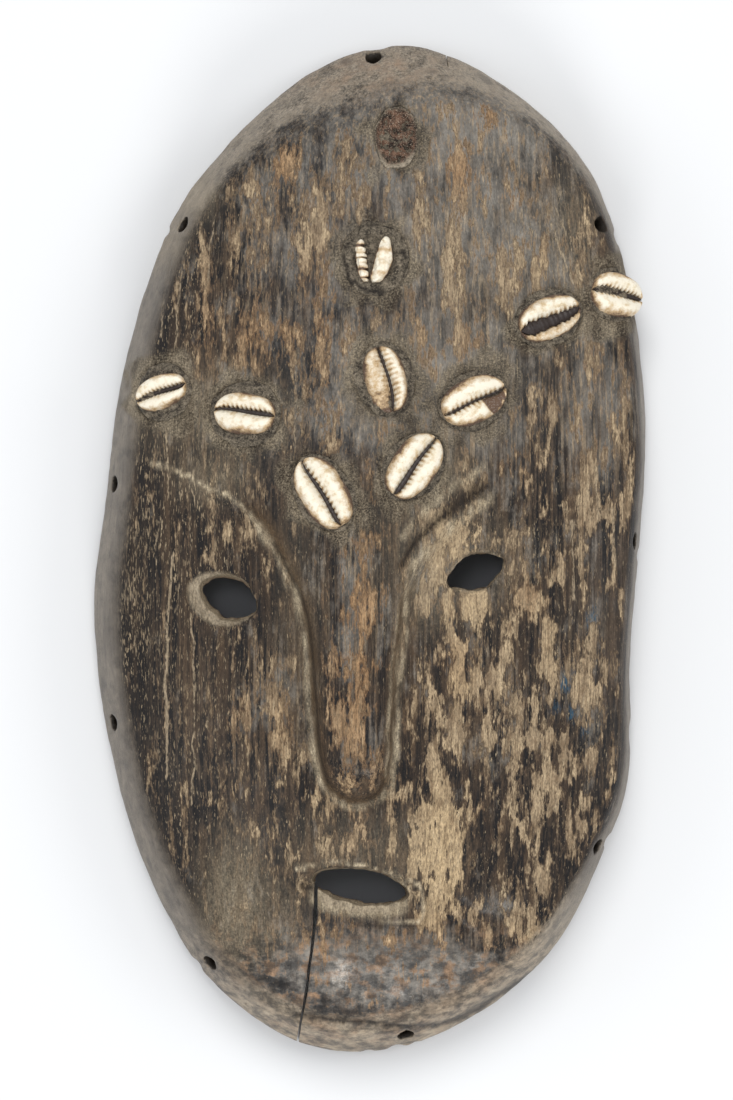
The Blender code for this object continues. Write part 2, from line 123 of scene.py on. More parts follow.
SPLIT_LINE = ((-0.191, -0.655), (-0.202, -0.758), (-0.222, -0.847), (-0.242, -0.915), (-0.285, -1.060))
Setting = namedtuple("Setting", "name u v length width turn bed_length bed_width sink kept")
SETTINGS = (
    Setting("left_temple", -0.745, 0.307, 0.0165, 0.0108, 17, 0.0200, 0.0180, 0.0006, 1.0),
    Setting("left_brow", -0.444, 0.263, 0.0190, 0.0130, -8, 0.0235, 0.0210, 0.0, 1.0),
    Setting("nose_root_left", -0.166, 0.108, 0.0235, 0.0145, 122, 0.0265, 0.0185, 0.0, 1.0),
    Setting("forehead", 0.054, 0.329, 0.0205, 0.0130, 102, 0.0245, 0.0190, 0.0, 1.0),
    Setting("nose_root_right", 0.155, 0.160, 0.0222, 0.0140, 51, 0.0250, 0.0180, 0.0, 1.0),
    Setting("right_brow", 0.368, 0.289, 0.0210, 0.0138, 25, 0.0240, 0.0185, 0.0, 1.0),
    Setting("right_temple", 0.639, 0.452, 0.0203, 0.0128, 24, 0.0240, 0.0180, 0.0, 1.0),
    Setting("right_edge", 0.893, 0.500, 0.0180, 0.0142, -5, 0.0200, 0.0185, 0.0022, 1.0),
    Setting("upper_forehead", 0.018, 0.567, 0.0190, 0.0120, 90, 0.0235, 0.0225, 0.0, 0.62),
    Setting("crown", 0.094, 0.807, 0.0170, 0.0100, 90, 0.0210, 0.0140, 0.0, 0.0),
)

# Fineness of the wood: across the grain, along it, and on the back
COARSER = 1.0
ACROSS_STEP = 0.00062 * COARSER
ALONG_STEP = 0.00115 * COARSER
BACK_STEP = 0.0021 * COARSER
EDGE_STEP = 0.00085 * COARSER
FACE_RINGS = (0.035, 0.08, 0.14, 0.22, 0.32, 0.44, 0.58, 0.74, 0.9)
BACK_RINGS = (0, 0.1, 0.25, 0.5, 0.8)
RIM_LEVELS = (0.7, 0.4, 0.12)
LOWEST_FRONT = EDGE_HEIGHT * 0.9
OPENING_SIDES = 72
OPENING_LEVELS = 12
OPENING_ROUGHNESS = 0.0007
HOLE_SIDES = 26
HOLE_LEVELS = 41

# Relief of the wood's surface
FIBRE_RELIEF = 0.00010
STREAK_RELIEF = 0.00016
ADZE_RELIEF = 0.00050
WORN_DEPTH = 0.00020
GOUGE_RELIEF = 0.0007
EDGE_RIPPLE = 0.00035
CHIN_SWELL = 0.0015
GROOVE_DEPTH = 0.0011
SCRATCH_DEPTH = 0.00025
CORD_GROOVE_DEPTH = 0.0012
CORD_GROOVE_LENGTH = 0.012
MOUTH_FRAME_DEPTH = 0.0019
MOUTH_FRAME_AT = (-3.2, -105.0)
MOUTH_FRAME_HALF = (18.6, 8.4)
MOUTH_FRAME_TILT = math.radians(-5)
EYE_FRAME_DEPTH = 0.0013
EYE_FRAMES = ((0.0019, (-0.0013, -0.0006)), (0.0014, (-0.0003, 0.0)))

# Chips out of the outer edge, in mm: x, y, half-width along the edge and depth
CHIPS = (
    (2, 155, 3.4, 0.7), (-61.5, 97, 1.8, 0.9), (76, 95.5, 2, 0.7), (-84, -55, 1.8, 0.8),
    (74.5, -90.5, 2.2, 1.1), (-52, -127, 2.4, 0.8), (8.5, -155, 2.6, 0.9), (14.5, -154, 1.8, 1.1),
    (-0.5, -155, 1.6, 0.4), (83.5, -2, 2, 0.5), (23.5, 151, 0.8, 0.5), (81, -57, 4, 0.5),
)

# Where the black patina has worn off to bare wood: x, y and half-sizes in mm, and how much
BARE_FOREHEAD = (
    (-48.5, 66.7, 2.7, 14, 0.55), (-35.6, 64.8, 3, 9.8, 0.55), (-26.7, 64.8, 4.8, 4.2, 0.40),
    (-14.4, 67.6, 5.2, 15.5, 0.22), (-39.3, 98.1, 2.5, 13.6, 0.25), (-18.4, 110.4, 3.7, 9.2, 0.25),
    (-9.2, 111.9, 1.8, 11, 0.28), (-49.7, 89.8, 3.4, 8.3, 0.30), (-27, 116.5, 2.8, 4.6, 0.35),
    (-36.2, 109.2, 2.4, 3, 0.35), (-19.3, 88.5, 2.8, 7, 0.22), (31.9, 122.1, 4.3, 2.7, 0.35),
    (27.3, 115, 4, 5.4, 0.45), (43, 110.1, 5.2, 8.8, 0.40), (48.2, 126.1, 2.3, 1.6, 0.40),
    (34.7, 132.9, 3.4, 3, 0.30), (17.8, 93.1, 1.1, 16.6, 0.38), (22.7, 85.4, 1.3, 8.9, 0.30),
    (40, 86, 2, 9.5, 0.34), (45.6, 87, 1.6, 9, 0.34), (50, 87.9, 2.2, 7.6, 0.48),
    (57.4, 90.4, 3, 4.2, 0.42), (17.2, 68.8, 2.5, 7.1, 0.25), (31.6, 63.3, 2.3, 7.1, 0.25),
    (66.3, 55.9, 1.7, 5.2, 0.50), (70, 48.8, 1.6, 5.2, 0.42), (49.1, 47.6, 1.8, 5, 0.32),
    (55.2, 40.2, 1.7, 3, 0.45), (62.3, 35.9, 1.7, 4.2, 0.48), (68.1, 26.9, 3, 6.4, 0.50),
    (51.6, 28.5, 2.1, 5.2, 0.42), (28.2, 25.7, 2.4, 3.6, 0.28), (41.4, 25.4, 4.6, 3.9, 0.42),
    (9.8, 36.5, 3.9, 4.8, 0.25), (31, 13.4, 3.2, 4.8, 0.40), (75.5, 40, 1.6, 10, 0.30),
    (78.5, 20, 1.6, 12, 0.28), (-41, 45, 1.6, 9, 0.20), (-22, 46, 1.6, 12, 0.22),
    (-35, 21, 1.8, 6, 0.34), (-58, 36, 1.4, 7, 0.24), (-65, 72, 0.9, 9, 0.40),
    (-58.6, 80, 0.9, 15, 0.34), (0.5, 20, 2.4, 8, 0.22), (4, 100, 1.2, 8, 0.20),
)
BARE_RIGHT = (
    (28.2, 4.2, 7.5, 7, 0.62), (20, -6, 5, 12, 0.50), (33, 14, 4, 7, 0.40),
    (15.3, -6.6, 7.4, 9.9, 0.22), (30.7, -17.4, 7.9, 4.3, 0.50), (54.6, -26, 2.6, 9.4, 0.55),
    (59.2, -2, 1.7, 11, 0.40), (66, -0.5, 1.5, 9.6, 0.38), (47.6, -14, 3.1, 3.6, 0.34),
    (66, -31.3, 2.6, 5.4, 0.46), (66, -44.5, 3.3, 3.6, 0.50), (50.9, -59, 2.5, 18.5, 0.48),
    (27.6, -38.9, 3.5, 9, 0.52), (41.4, -36.5, 2.6, 5.1, 0.40), (24.9, -57.4, 3.5, 8.5, 0.44),
    (39.3, -56.8, 5.2, 5.5, 0.36), (57.4, -57.7, 4.5, 2.8, 0.42), (16.6, -23.9, 4.6, 4.9, 0.16),
    (35.9, -72.2, 1.4, 5.5, 0.46), (42.7, -72.8, 1.9, 5, 0.48), (66, -66, 1.5, 3.9, 0.38),
    (75.2, -67.3, 4.6, 10.2, 0.22), (21.2, -88, 6, 14, 0.85), (22.5, -97, 6.8, 9.5, 0.60),
    (18.4, -109.8, 2.9, 9.9, 0.60), (25.5, -69.8, 3.6, 4.8, 0.40), (42.7, -82, 1.7, 13.5, 0.58),
    (52.2, -72.2, 1.9, 7.1, 0.45), (56.8, -79, 1.4, 13.9, 0.42), (64.1, -83.9, 3.2, 7.9, 0.46),
    (53.4, -97.5, 2.3, 6.4, 0.52), (43.6, -102.4, 3.6, 4.8, 0.32), (45.7, -110.1, 3, 3.6, 0.45),
    (39.9, -119, 1.8, 2.8, 0.50), (50, -118.1, 2.7, 2.7, 0.60), (34.1, -114.7, 1.9, 6.4, 0.45),
    (32.2, -130.4, 3.3, 2.7, 0.36), (45.7, -127.3, 2.4, 3, 0.40), (60, -112, 1.6, 3.4, 0.38),
    (36.5, -44, 1.2, 5, 0.30), (30, -83, 1.5, 6, 0.24), (73, -45, 1.2, 9, 0.20),
    (26.5, -112, 1.6, 7, 0.34), (60.5, -66, 1.2, 6.5, 0.30),
)
BARE_LEFT = (
    (-31.6, -89.8, 8.6, 7.4, 0.22), (-27, -90.4, 3.6, 8, 0.30), (-15.3, -82, 3.6, 11, 0.42),
    (-5.8, -89.4, 4.9, 4.9, 0.30), (6.1, -87, 1.6, 9, 0.56), (13.2, -92.2, 2.3, 9.9, 0.45),
    (-13.8, -117.5, 2, 3.9, 0.30), (4, -119.3, 1.8, 4.2, 0.30), (-27.6, -34.6, 3.9, 2.5, 0.40),
    (-30.1, -49.7, 2.2, 14.5, 0.46), (-25.5, -54, 3.5, 8.2, 0.52), (-40.2, -50.6, 4.1, 8.3, 0.42),
    (-40.5, -34.6, 1.8, 1.8, 0.42), (-40.2, -27.9, 0.9, 5, 0.42), (-38.7, -68.8, 2.2, 8.3, 0.40),
    (-30.4, -71.3, 4.2, 6.2, 0.34), (-49.4, -2.3, 2, 3, 0.36), (-43.3, 4.2, 1.4, 2.7, 0.40),
    (-36.2, 6.6, 2.7, 1.5, 0.40), (-27.6, -5.7, 3.9, 3.9, 0.24), (-21, -70, 1.6, 9, 0.34),
    (-46.5, -79, 1.2, 4, 0.28), (-21.5, -102, 4.6, 2, 0.30), (-36, -116, 5, 6, 0.15),
    (9.5, -72, 2, 5, 0.34), (-11, -98, 2.2, 2.2, 0.30), (-45, -30, 1.4, 5, 0.16),
)
BARE_NOSE = (
    (-2.2, -15.9, 2.6, 15, 0.60), (-3.8, -46.6, 2.4, 18, 0.62), (-11.4, -28.2, 1.5, 9.2, 0.34),
    (-9.8, -52, 1.7, 11, 0.36), (-6.6, -70.8, 5.2, 3.4, 0.30), (2.8, -40, 1, 12, 0.24),
    (-0.5, 3, 1.8, 6, 0.22),
)
BARE = BARE_FOREHEAD + BARE_RIGHT + BARE_LEFT + BARE_NOSE

# Where it stays black between the bare places
BLACK = (
    (57.7, 32.5, 2.8, 3.6, 0.30), (39, 12, 4.6, 4.6, 0.90), (47, 2, 4, 8.3, 0.34),
    (53.4, -11.2, 3.7, 5.5, 0.30), (62.4, -6.3, 1.6, 12.3, 0.30), (48.7, -31.9, 2.5, 9.5, 0.34),
    (34.6, -26.5, 3.3, 5.8, 0.30), (36.8, -48.2, 3, 3.6, 0.34), (38.9, -70, 2, 7.4, 0.30),
    (58.5, -51.3, 4, 4, 0.30), (73.5, -25.7, 4, 26, 0.24), (50.4, -110, 2.7, 4.6, 0.34),
    (43.5, -124.2, 5, 3, 0.26), (46.9, -84, 2.4, 8, 0.30), (71, -77.7, 4.4, 9.2, 0.28),
    (28.7, -122.4, 2, 4.9, 0.26), (-37, -79.4, 3.2, 3.6, 0.34), (-20.3, -87.4, 2.1, 8.9, 0.34),
    (9.7, -86.4, 1.5, 8, 0.34), (2.5, -84.2, 1.6, 5.5, 0.24), (-34.5, -92, 2.7, 4.3, 0.20),
    (-4.9, -117.8, 5.7, 3.3, 0.24), (33.2, -97, 2.4, 9, 0.34), (36, -88.5, 3.4, 3, 0.20),
    (-46, -56, 2.2, 12, 0.22), (-35.4, -62, 1.6, 5, 0.30), (0, 75, 5, 12, 0.14), (-30, 84, 3, 16, 0.10),
    (-62, -30, 16, 60, 0.16), (-64, 40, 13, 44, 0.10),
)

# Colour of the bare wood: pale where it is deepest, orange-brown where it was rubbed
PALE = (
    (21.5, -92, 8, 20, 1), (18.4, -110, 3.5, 11, 0.7), (29, 0, 9, 9, 0.55), (30, -18, 9, 6, 0.6),
    (27.6, -38.9, 4.5, 10, 0.6), (54.6, -26, 4, 12, 0.35), (50, 88, 5, 9, 0.35),
    (13.2, -92, 3.5, 11, 0.6), (-15, -82, 4.5, 12, 0.35), (-26, -54, 5, 11, 0.30),
    (50, -118, 4, 4, 0.3), (6, -87, 3, 10, 0.35), (-8, -71, 4, 3, 0.5),
)
RUDDY = (
    (-27, 116.5, 6, 7, 0.8), (27.3, 115, 6, 8, 0.8), (34.7, 132.9, 5, 5, 0.8), (44, 104, 5, 5, 0.6),
    (-35.6, 64.8, 5, 12, 0.7), (-27, 64.8, 7, 7, 0.7), (-48.5, 66, 5, 16, 0.45), (-3, -30, 10, 46, 0.9),
    (31.6, 60, 5, 8, 0.5), (9.8, 36.5, 6, 7, 0.5), (47.6, -14, 4, 5, 0.5), (0, -125, 34, 12, 0.6),
    (32.2, -130.4, 6, 5, 0.6), (-0.5, 145, 20, 8, 0.6), (27, -36, 4, 7, 0.4), (-40, -50, 5, 10, 0.35),
    (0, -145, 26, 8, 0.5), (35, -84, 3.5, 4, 0.6), (-14.4, 67.6, 7, 16, 0.55), (17.2, 68.8, 4, 9, 0.5),
    (57.4, 90.4, 5, 6, 0.4), (41.4, 25.4, 6, 6, 0.4), (-26, -52, 4, 10, 0.4),
)

# Bluish-grey polish over the patina: a glossier finish, with painted sheen in its grey
POLISH_AND_PAINTED_SHEEN = (
    (4, 108, 24, 26, 0.42), (36, 104, 22, 30, 0.42), (-14, 80, 16, 30, 0.34), (16, 70, 20, 26, 0.34),
    (8, 108, 9, 6, 0.45), (-21, -127, 8, 10, 0.70), (2, -132, 30, 9, 0.85), (24, -134, 16, 8, 0.75),
    (38, -108.5, 7, 3, 0.60), (34, -127, 3.4, 3.4, 0.70), (-4, 40, 30, 18, 0.26),
    (42, 52, 18, 22, 0.22), (-12, -118, 16, 7, 0.35), (72, -20, 8, 50, 0.18), (-52, -66, 14, 24, 0.10),
    (-35, -80, 10, 16, 0.16),
)

# Warm grey film that lightens the patina
HAZE = (
    (27.7, 128.8, 34, 20, 0.85), (0, 92, 40, 44, 0.55), (35.4, 98, 24, 34, 0.72),
    (67.7, 45.7, 13, 26, 0.74), (15.4, 48, 34, 26, 0.88), (-49, 45.7, 24, 12, 0.50),
    (-30.8, 95, 18, 34, 0.50), (-4.6, -15.9, 9, 26, 0.58), (-4.6, -54.3, 7, 24, 0.46),
    (23, -6.6, 13, 16, 0.60), (30.8, -45, 16, 26, 0.34), (6.2, -128, 42, 13, 0.85),
    (64, -40, 12, 34, 0.30), (-27, -46, 12, 22, 0.46), (-4, 130, 40, 10, 0.60),
    (-36, -112, 12, 14, 0.20), (38, 0, 30, 14, 0.28), (56, 80, 12, 22, 0.62),
)

# Grey-tan dust lying in the hollows
DUST = (
    (-41, -107, 9, 16, 0.42), (-36, -112, 12, 10, 0.30), (16, -8, 7, 14, 0.28), (20, 24, 9, 8, 0.28),
    (-50, 41, 20, 12, 0.20), (-48, 22, 10, 7, 0.28), (4, 52, 8, 12, 0.30), (-2, -93, 20, 12, 0.16),
    (30, -4, 12, 14, 0.18), (-22, -20, 6, 30, 0.10), (14, 0, 10, 18, 0.18), (38, 90, 24, 40, 0.08),
    (-66, 96, 8, 8, 0.35), (-54, 108, 7, 7, 0.30), (60, 96, 7, 16, 0.20),
)

# Where short pale ticks break through the patina, and where it looks blue
FLECKS = (
    (-60, -20, 26, 90, 1), (-58, 60, 20, 60, 0.75), (56, 100, 14, 26, 0.5), (-34, -86, 26, 30, 0.55),
    (40, -104, 30, 26, 0.55), (0, 0, 90, 150, 0.30), (52, -40, 26, 60, 0.70), (-70, -10, 9, 60, 1.35),
)
BLUE = (
    (67.4, -22, 1.6, 4.2, 0.9), (61, -40.5, 3, 3.4, 1), (61.5, -50, 1.6, 3.4, 0.9),
    (65.8, -55.5, 1.2, 3, 0.7), (56, -47, 2.6, 4, 0.4),
)

# Long pale scratches: their points and width in mm, and how strong they are
SCRATCHES = (
    (((-64.3, 9), (-65.5, -7)), 0.28, 0.6),
    (((-59.5, -1), (-61, -14), (-62, -44), (-61.5, -70)), 0.45, 0.9),
    (((-58.2, -9), (-58.6, -20)), 0.28, 0.6),
    (((-54, -20), (-53.6, -40), (-53.8, -78)), 0.35, 0.8),
    (((-54.6, 10), (-55, -5)), 0.3, 0.6),
    (((-62, 46), (-61.6, 24), (-61.8, 14)), 0.30, 0.8),
    (((-53.5, 24), (-53.4, 13)), 0.5, 0.6),
    (((-61, 88), (-64, 64)), 0.35, 0.8),
    (((-56, 92), (-59, 66), (-60, 58)), 0.4, 0.7),
    (((54, 100), (60, 86), (66, 72)), 0.5, 0.7),
    (((57, 104), (63, 84), (65, 74)), 0.4, 0.6),
    (((-48, 100), (-49.5, 80)), 0.35, 0.6),
    (((-9, 124), (-11, 100), (-12, 76)), 0.3, 0.5),
    (((55, 12), (58.2, 12.9), (61.4, 11.5), (65, 12.5), (69, 11.3), (73.5, 12.3)), 0.35, 0.55),
    (((61.5, 9), (62, -16)), 0.6, 0.6),
    (((73.8, 12), (74.2, -6)), 0.5, 0.7), (((69, 24), (69.4, 9)), 0.5, 0.6),
    (((17, 108), (17.6, 80)), 0.45, 0.6), (((22.5, 95), (22.8, 72)), 0.4, 0.6),
    (((-30, 118), (-31.5, 84)), 0.35, 0.6), (((-22, 60), (-22.6, 30)), 0.4, 0.5),
    (((41.5, 66), (42, 40)), 0.4, 0.5), (((3.5, 96), (3, 78)), 0.35, 0.5),
)

# Raised dusty edges that follow the carving: beside the nose and under the left brow
DUST_LINES = (
    (((-66.8, 26.3), (-58.5, 23.5), (-47.1, 17.4), (-39.1, 13.4), (-32.9, 6.2)), 0.75, 1.2),
    (((-33.5, 6.8), (-27.7, -3), (-23.2, -12.6), (-20.4, -22.6)), 1.4, 1.10),
    (((-20.4, -22.6), (-19.3, -32.3), (-18.3, -48), (-17.1, -61), (-15, -71)), 1.15, 1.10),
    (((-15, -71), (-10.5, -76.4), (-6.2, -78.2), (0, -77.8), (5.8, -74.8)), 1, 0.9),
    (((5.8, -74.8), (7.4, -61), (8.8, -40.9), (10.5, -20.8), (12, -8.4)), 0.95, 1.15),
    (((4.8, -68), (5.6, -52), (7, -34), (8.8, -16)), 0.5, 0.8),
    (((12, -8.4), (15.4, -2.8), (25.5, 6.4), (35.5, 15.6)), 1.8, 1),
    (((10.4, 3.6), (17, 12), (26, 19.2), (34, 24)), 1.5, 0.8),
    (((-21.9, -97.2), (-12.6, -95.4), (-3.4, -96), (5.8, -98.9), (15.1, -101.8)), 0.55, 1.2),
    (((-4, -98.4), (6, -101), (13.6, -104)), 0.35, 1),
    (((15.1, -101.8), (16.2, -106), (15.6, -112.8), (8, -114), (3, -113.8)), 0.50, 1.1),
)

# Grooves beside the nose and the right brow, round the mouth's frame and across the chin, with painted shade
# along them
GROOVES = (
    (((9.6, -5), (13.4, 1.6), (20.6, 8.4), (29.4, 14.8), (35.6, 19)), 0.80, 1.20),
    (((18, 6.8), (24, 11.6), (28.6, 15)), 1.7, 0.80),
    (((27, 14), (30, 16), (33.6, 18.6)), 2.3, 0.85),
    (((-14, -96.6), (-4, -97.2), (6, -99.9), (14.2, -102.9)), 0.35, 0.65),
    (((-8, -113.8), (2, -114.9), (9, -115), (16.6, -114), (17.4, -104)), 0.45, 0.55),
    (((-20.6, -102.4), (-17.6, -103)), 1.1, 1),
    (((-29, 1.6), (-24.8, -6.6), (-20.2, -16), (-17.8, -27), (-16.4, -44), (-15, -62),
             (-12.6, -71)), 0.60, 0.9),
    (((-12.6, -71), (-6, -75.6), (0.6, -75.2), (4, -71)), 0.5, 0.7),
    (((-22.7, -142.3), (-2, -144.6), (17, -146), (29, -143.2), (39.3, -136.8), (49, -131.6)),
     1, 1.15),
)

# Small bright shines on the polished swells: painted highlights, where the finish is also glossier
PAINTED_HIGHLIGHT_SPOTS = (
    (-7, -128.2, 5, 1.6, 0.85), (-10.4, -124.6, 3, 1.3, 0.55), (26, -139.4, 8, 1.5, 0.80),
    (14, -136.4, 7, 1.1, 0.45), (-1.5, -68.2, 2, 1.4, 0.45), (37.5, -107.8, 4.4, 0.9, 0.60),
    (33, -112.6, 2.6, 0.8, 0.40), (31, -126, 2.6, 1.4, 0.35),
)


def smooth(t):
    """0 to 1 with no kink at either end."""
    t = np.clip(t, 0.0, 1.0)
    return t * t * (3 - 2 * t)


def place(points):
    """Shares of the half-width and half-length, as metres."""
    return np.asarray(points, float) * HALF


def curve_through(points, steps, closed):
    """A Catmull-Rom curve through the points, with steps pieces to a span."""
    p = np.asarray(points, float)
    if closed:
        p = np.vstack([p[-1], p, p[0], p[1]])
    else:
        p = np.vstack([2 * p[0] - p[1], p, 2 * p[-1] - p[-2]])
    t = np.arange(steps)[:, None] / steps
    spans = [
        0.5 * (2 * b + (c - a) * t + (2 * a - 5 * b + 4 * c - d) * t**2 + (3 * b - a - 3 * c + d) * t**3)
        for a, b, c, d in zip(p, p[1:], p[2:], p[3:])
    ]
    return np.vstack(spans if closed else [*spans, p[-2:-1]])


def even_points(line, count):
    """Points at equal steps round a closed polyline."""
    path = np.vstack([line, line[:1]])
    run = np.concatenate([[0.0], np.cumsum(np.linalg.norm(np.diff(path, axis=0), axis=1))])
    at = np.linspace(0.0, run[-1], count + 1)[:-1]
    return np.column_stack([np.interp(at, run, path[:, k]) for k in (0, 1)])


def outline_curve():
    """The mask's outline, stretched to its exact length and width about the origin."""
    line = curve_through(OUTLINE, 12, closed=True)
    low, high = line.min(axis=0), line.max(axis=0)
    return place((line - (low + high) / 2) / ((high - low) / 2))


def in_parts(work, points):
    """Runs a function over the points, a few thousand at a time."""
    return np.concatenate([work(part) for part in np.array_split(points, len(points) // 4000 + 1)])


def distance_to(points, line, closed=False):
    """Distance from each point to a polyline."""
    starts = line if closed else line[:-1]
    ends = np.roll(line, -1, axis=0) if closed else line[1:]
    along = ends - starts
    squared = (along**2).sum(1)

    def nearest(part):
        x = part[:, 0:1] - starts[:, 0]
        y = part[:, 1:2] - starts[:, 1]
        t = np.clip((x * along[:, 0] + y * along[:, 1]) / squared, 0, 1)
        return np.sqrt(((x - t * along[:, 0]) ** 2 + (y - t * along[:, 1]) ** 2).min(axis=1))

    return in_parts(nearest, points)


def inside(points, loop):
    """Which points lie inside a closed polygon."""
    ax, ay = loop[:, 0], loop[:, 1]
    bx, by = np.roll(ax, -1), np.roll(ay, -1)
    slant = (bx - ax) / np.where(by == ay, 1.0, by - ay)

    def odd(part):
        x, y = part[:, 0:1], part[:, 1:2]
        return (((ay > y) != (by > y)) & (x < ax + slant * (y - ay))).sum(axis=1) % 2 == 1

    return in_parts(odd, points)


OUTLINE_CURVE = outline_curve()
BROW_CURVE = curve_through(place(BROW_LINE), 6, closed=False)
BROW_REGION = np.vstack([BROW_CURVE, place([(0.6, 1.2), (-0.9, 1.2)])])

SCATTER = np.random.default_rng(11).random(8192)
HASH = (73856093, 19349663, 83492791)


def noise(points, size, seed=0):
    """Smooth lumps from 0 to 1, of a given size along each axis."""
    p = points / np.asarray(size, float) + seed * 17.31
    cell = np.floor(p).astype(np.int64)
    f = p - cell
    f = f * f * (3 - 2 * f)
    total = np.zeros(len(points))
    for corner in itertools.product((0, 1), repeat=p.shape[1]):
        key = sum((cell[:, k] + corner[k]) * HASH[k] for k in range(p.shape[1])) + seed * 7919
        weight = np.ones(len(points))
        for k, side in enumerate(corner):
            weight = weight * (f[:, k] if side else 1 - f[:, k])
        total += weight * SCATTER[(key ^ (key >> 13)) % len(SCATTER)]
    return total


def layered(points, size, octaves, seed=0):
    """Noise of several sizes, each half of the last, spread to fill 0 to 1."""
    total, weight, share = 0.0, 0.0, 1.0
    for k in range(octaves):
        total = total + share * noise(points, np.asarray(size, float) / 2**k, seed + k)
        weight += share
        share *= 0.6
    return smooth((total / weight - 0.22) / 0.56)


class Survey:
    """Points seen from above, with their distances to the outline and to the brow line."""

    def __init__(self, points):
        self.points = np.atleast_2d(points)
        self.u, self.v = (self.points / HALF).T
        off = distance_to(self.points, OUTLINE_CURVE, closed=True)
        self.edge = np.where(inside(self.points, OUTLINE_CURVE), off, -off)
        self.brow = distance_to(self.points, BROW_CURVE)
        self.over = inside(self.points, BROW_REGION)

    def border(self):
        """Width of the sloping border at the outline nearest to each point."""
        angle = np.arctan2(self.v, self.u)
        side = (BORDER_LEFT + BORDER_RIGHT) / 2 - (BORDER_LEFT - BORDER_RIGHT) / 2 * np.cos(angle)
        top = np.clip(np.sin(angle), 0, 1) ** 12
        bottom = np.clip(-np.sin(angle), 0, 1) ** 4
        return side + (BORDER_TOP - side) * top + (BORDER_BOTTOM - side) * bottom

    def swell(self):
        """Height of the rounded face without its brow and nose."""
        return SHOULDER_HEIGHT + CROWN * (1 - np.clip(self.u**2 + self.v**2, 0, 1.2))

    def brow_rise(self):
        """How far the forehead and nose stand over the plane of the eyes and cheeks."""
        aside = np.abs(self.u - NOSE_AXIS) / np.where(self.u < NOSE_AXIS, BROW_SPAN_LEFT, BROW_SPAN_RIGHT)
        height = NOSE_RISE * (1 - smooth(aside)) * smooth((BROW_TOP - self.v) / (BROW_TOP - BROW_FULL))
        tip = (self.v - BROW_LINE[9][1]) / (NOSE_TIP_TOP - BROW_LINE[9][1])
        height *= NOSE_TIP_SHARE + (1 - NOSE_TIP_SHARE) * smooth(tip)
        wall = NOSE_WALL + BROW_EASE * aside
        rounded = 1 - (1 - STEP_EDGE_SHARE) * (1 - np.clip(self.brow / NOSE_ROUNDING, 0, 1)) ** 2
        return height * np.where(self.over, rounded, STEP_EDGE_SHARE * (1 - smooth(self.brow / wall)))

    def eye_hollows(self):
        fade = np.where(self.over, 0.0, smooth(self.brow / EYE_HOLLOW_RADIUS * 2))
        depth = np.zeros(len(self.points))
        for eye in EYES:
            away = np.linalg.norm(self.points - place((eye.u, eye.v)), axis=1)
            depth += EYE_HOLLOW * np.exp(-((away / EYE_HOLLOW_RADIUS) ** 2))
        return depth * fade

    def chin_groove(self, across):
        reach = smooth((-self.v - CHIN_GROOVE_START) / CHIN_GROOVE_FADE)
        return CHIN_GROOVE * reach * np.exp(-(((across - CHIN_GROOVE_AT) / CHIN_GROOVE_SPREAD) ** 2))

    def across(self):
        """How far in from the edge over the border's width: 1 where the face begins."""
        return self.edge / self.border()

    def face(self):
        """Height of the carved front, as in the solids."""
        across = self.across()
        shoulder = EDGE_HEIGHT + (self.swell() - EDGE_HEIGHT) * (1 - (1 - np.clip(across, 0, 1)) ** 2)
        return shoulder - self.chin_groove(across) + self.brow_rise() - self.eye_hollows()

    def hollow(self):
        """Height of the hollowed back, as in the solids."""
        share = np.clip((self.edge - RIM_WIDTH) / HOLLOW_EASE, 0, 1)
        return (self.swell() - WALL) * (1 - (1 - share) ** 2)


def painted(points, patches, softness=0.5):
    """Soft oval patches, the strongest one at each point."""
    total = np.zeros(len(points))
    for x, y, half_x, half_y, amount in patches:
        far = np.hypot((points[:, 0] / MM - x) / half_x, (points[:, 1] / MM - y) / half_y)
        total = np.maximum(total, amount * smooth((1 + softness - far) / (2 * softness)))
    return total


def drawn(points, lines):
    """Soft lines, the strongest one at each point, fading at their ends."""
    total = np.zeros(len(points))
    for ends, width, amount in lines:
        path = curve_through(np.array(ends) * MM, 5, closed=False)
        far = distance_to(points, path) / (width * MM)
        total = np.maximum(total, amount * np.exp(-(far**2)))
    return total


def wander(points, reach, size, seed):
    """The points moved about a little, so that what is painted there gets an uneven edge."""
    shift = [noise(points, size, seed + k) - 0.5 for k in (0, 1)]
    return points + np.column_stack(shift) * reach


def bareness(survey):
    """0 where the patina is whole and 1 where the wood is bare, with the ragged edge at a half."""
    points = survey.points
    cheek = smooth((0.20 - survey.v) / 0.16) * smooth((survey.u + 0.62) / 0.30)
    right = smooth((0.18 - survey.v) / 0.10) * smooth((survey.u - 0.12) / 0.14)
    right = right * smooth((survey.v + 0.84) / 0.10)
    left = smooth((-survey.u - 0.28) / 0.24)
    upper = smooth((survey.v - 0.12) / 0.2) * (1 - left)
    wide = layered(wander(points, 0.0040, (0.0030, 0.0060), 53), (0.0042, 0.022), 4, 50)
    long = wide + (layered(points, (0.0017, 0.026), 3, 57) - wide) * left - 0.5
    chunky = layered(wander(points, 0.0030, (0.0016, 0.0030), 52), (0.0029, 0.0095), 4, 54) - 0.5
    fine = layered(points, (0.0011, 0.0046), 2, 60) - 0.5
    shifted = wander(points, 0.0050, (0.0014, 0.006), 40)
    field = 0.25 + 0.13 * right + 0.06 * upper
    field = field + 0.76 * painted(shifted, BARE, 0.85) - 0.60 * painted(shifted, BLACK, 0.85)
    field = field + (0.50 + 0.22 * right + 0.10 * upper) * (long + (chunky - long) * cheek) + 0.30 * fine
    field = field - 0.22 * smooth((-survey.v - 0.72) / 0.10)
    return np.clip(field * smooth((survey.across() - 0.55) / 0.5), 0, 1)


def wall_share(survey):
    """0 on the brow line and 1 at the foot of the step below it, and how far aside of the nose."""
    aside = np.abs(survey.u - NOSE_AXIS)
    return survey.brow / (NOSE_WALL + BROW_EASE * aside), aside


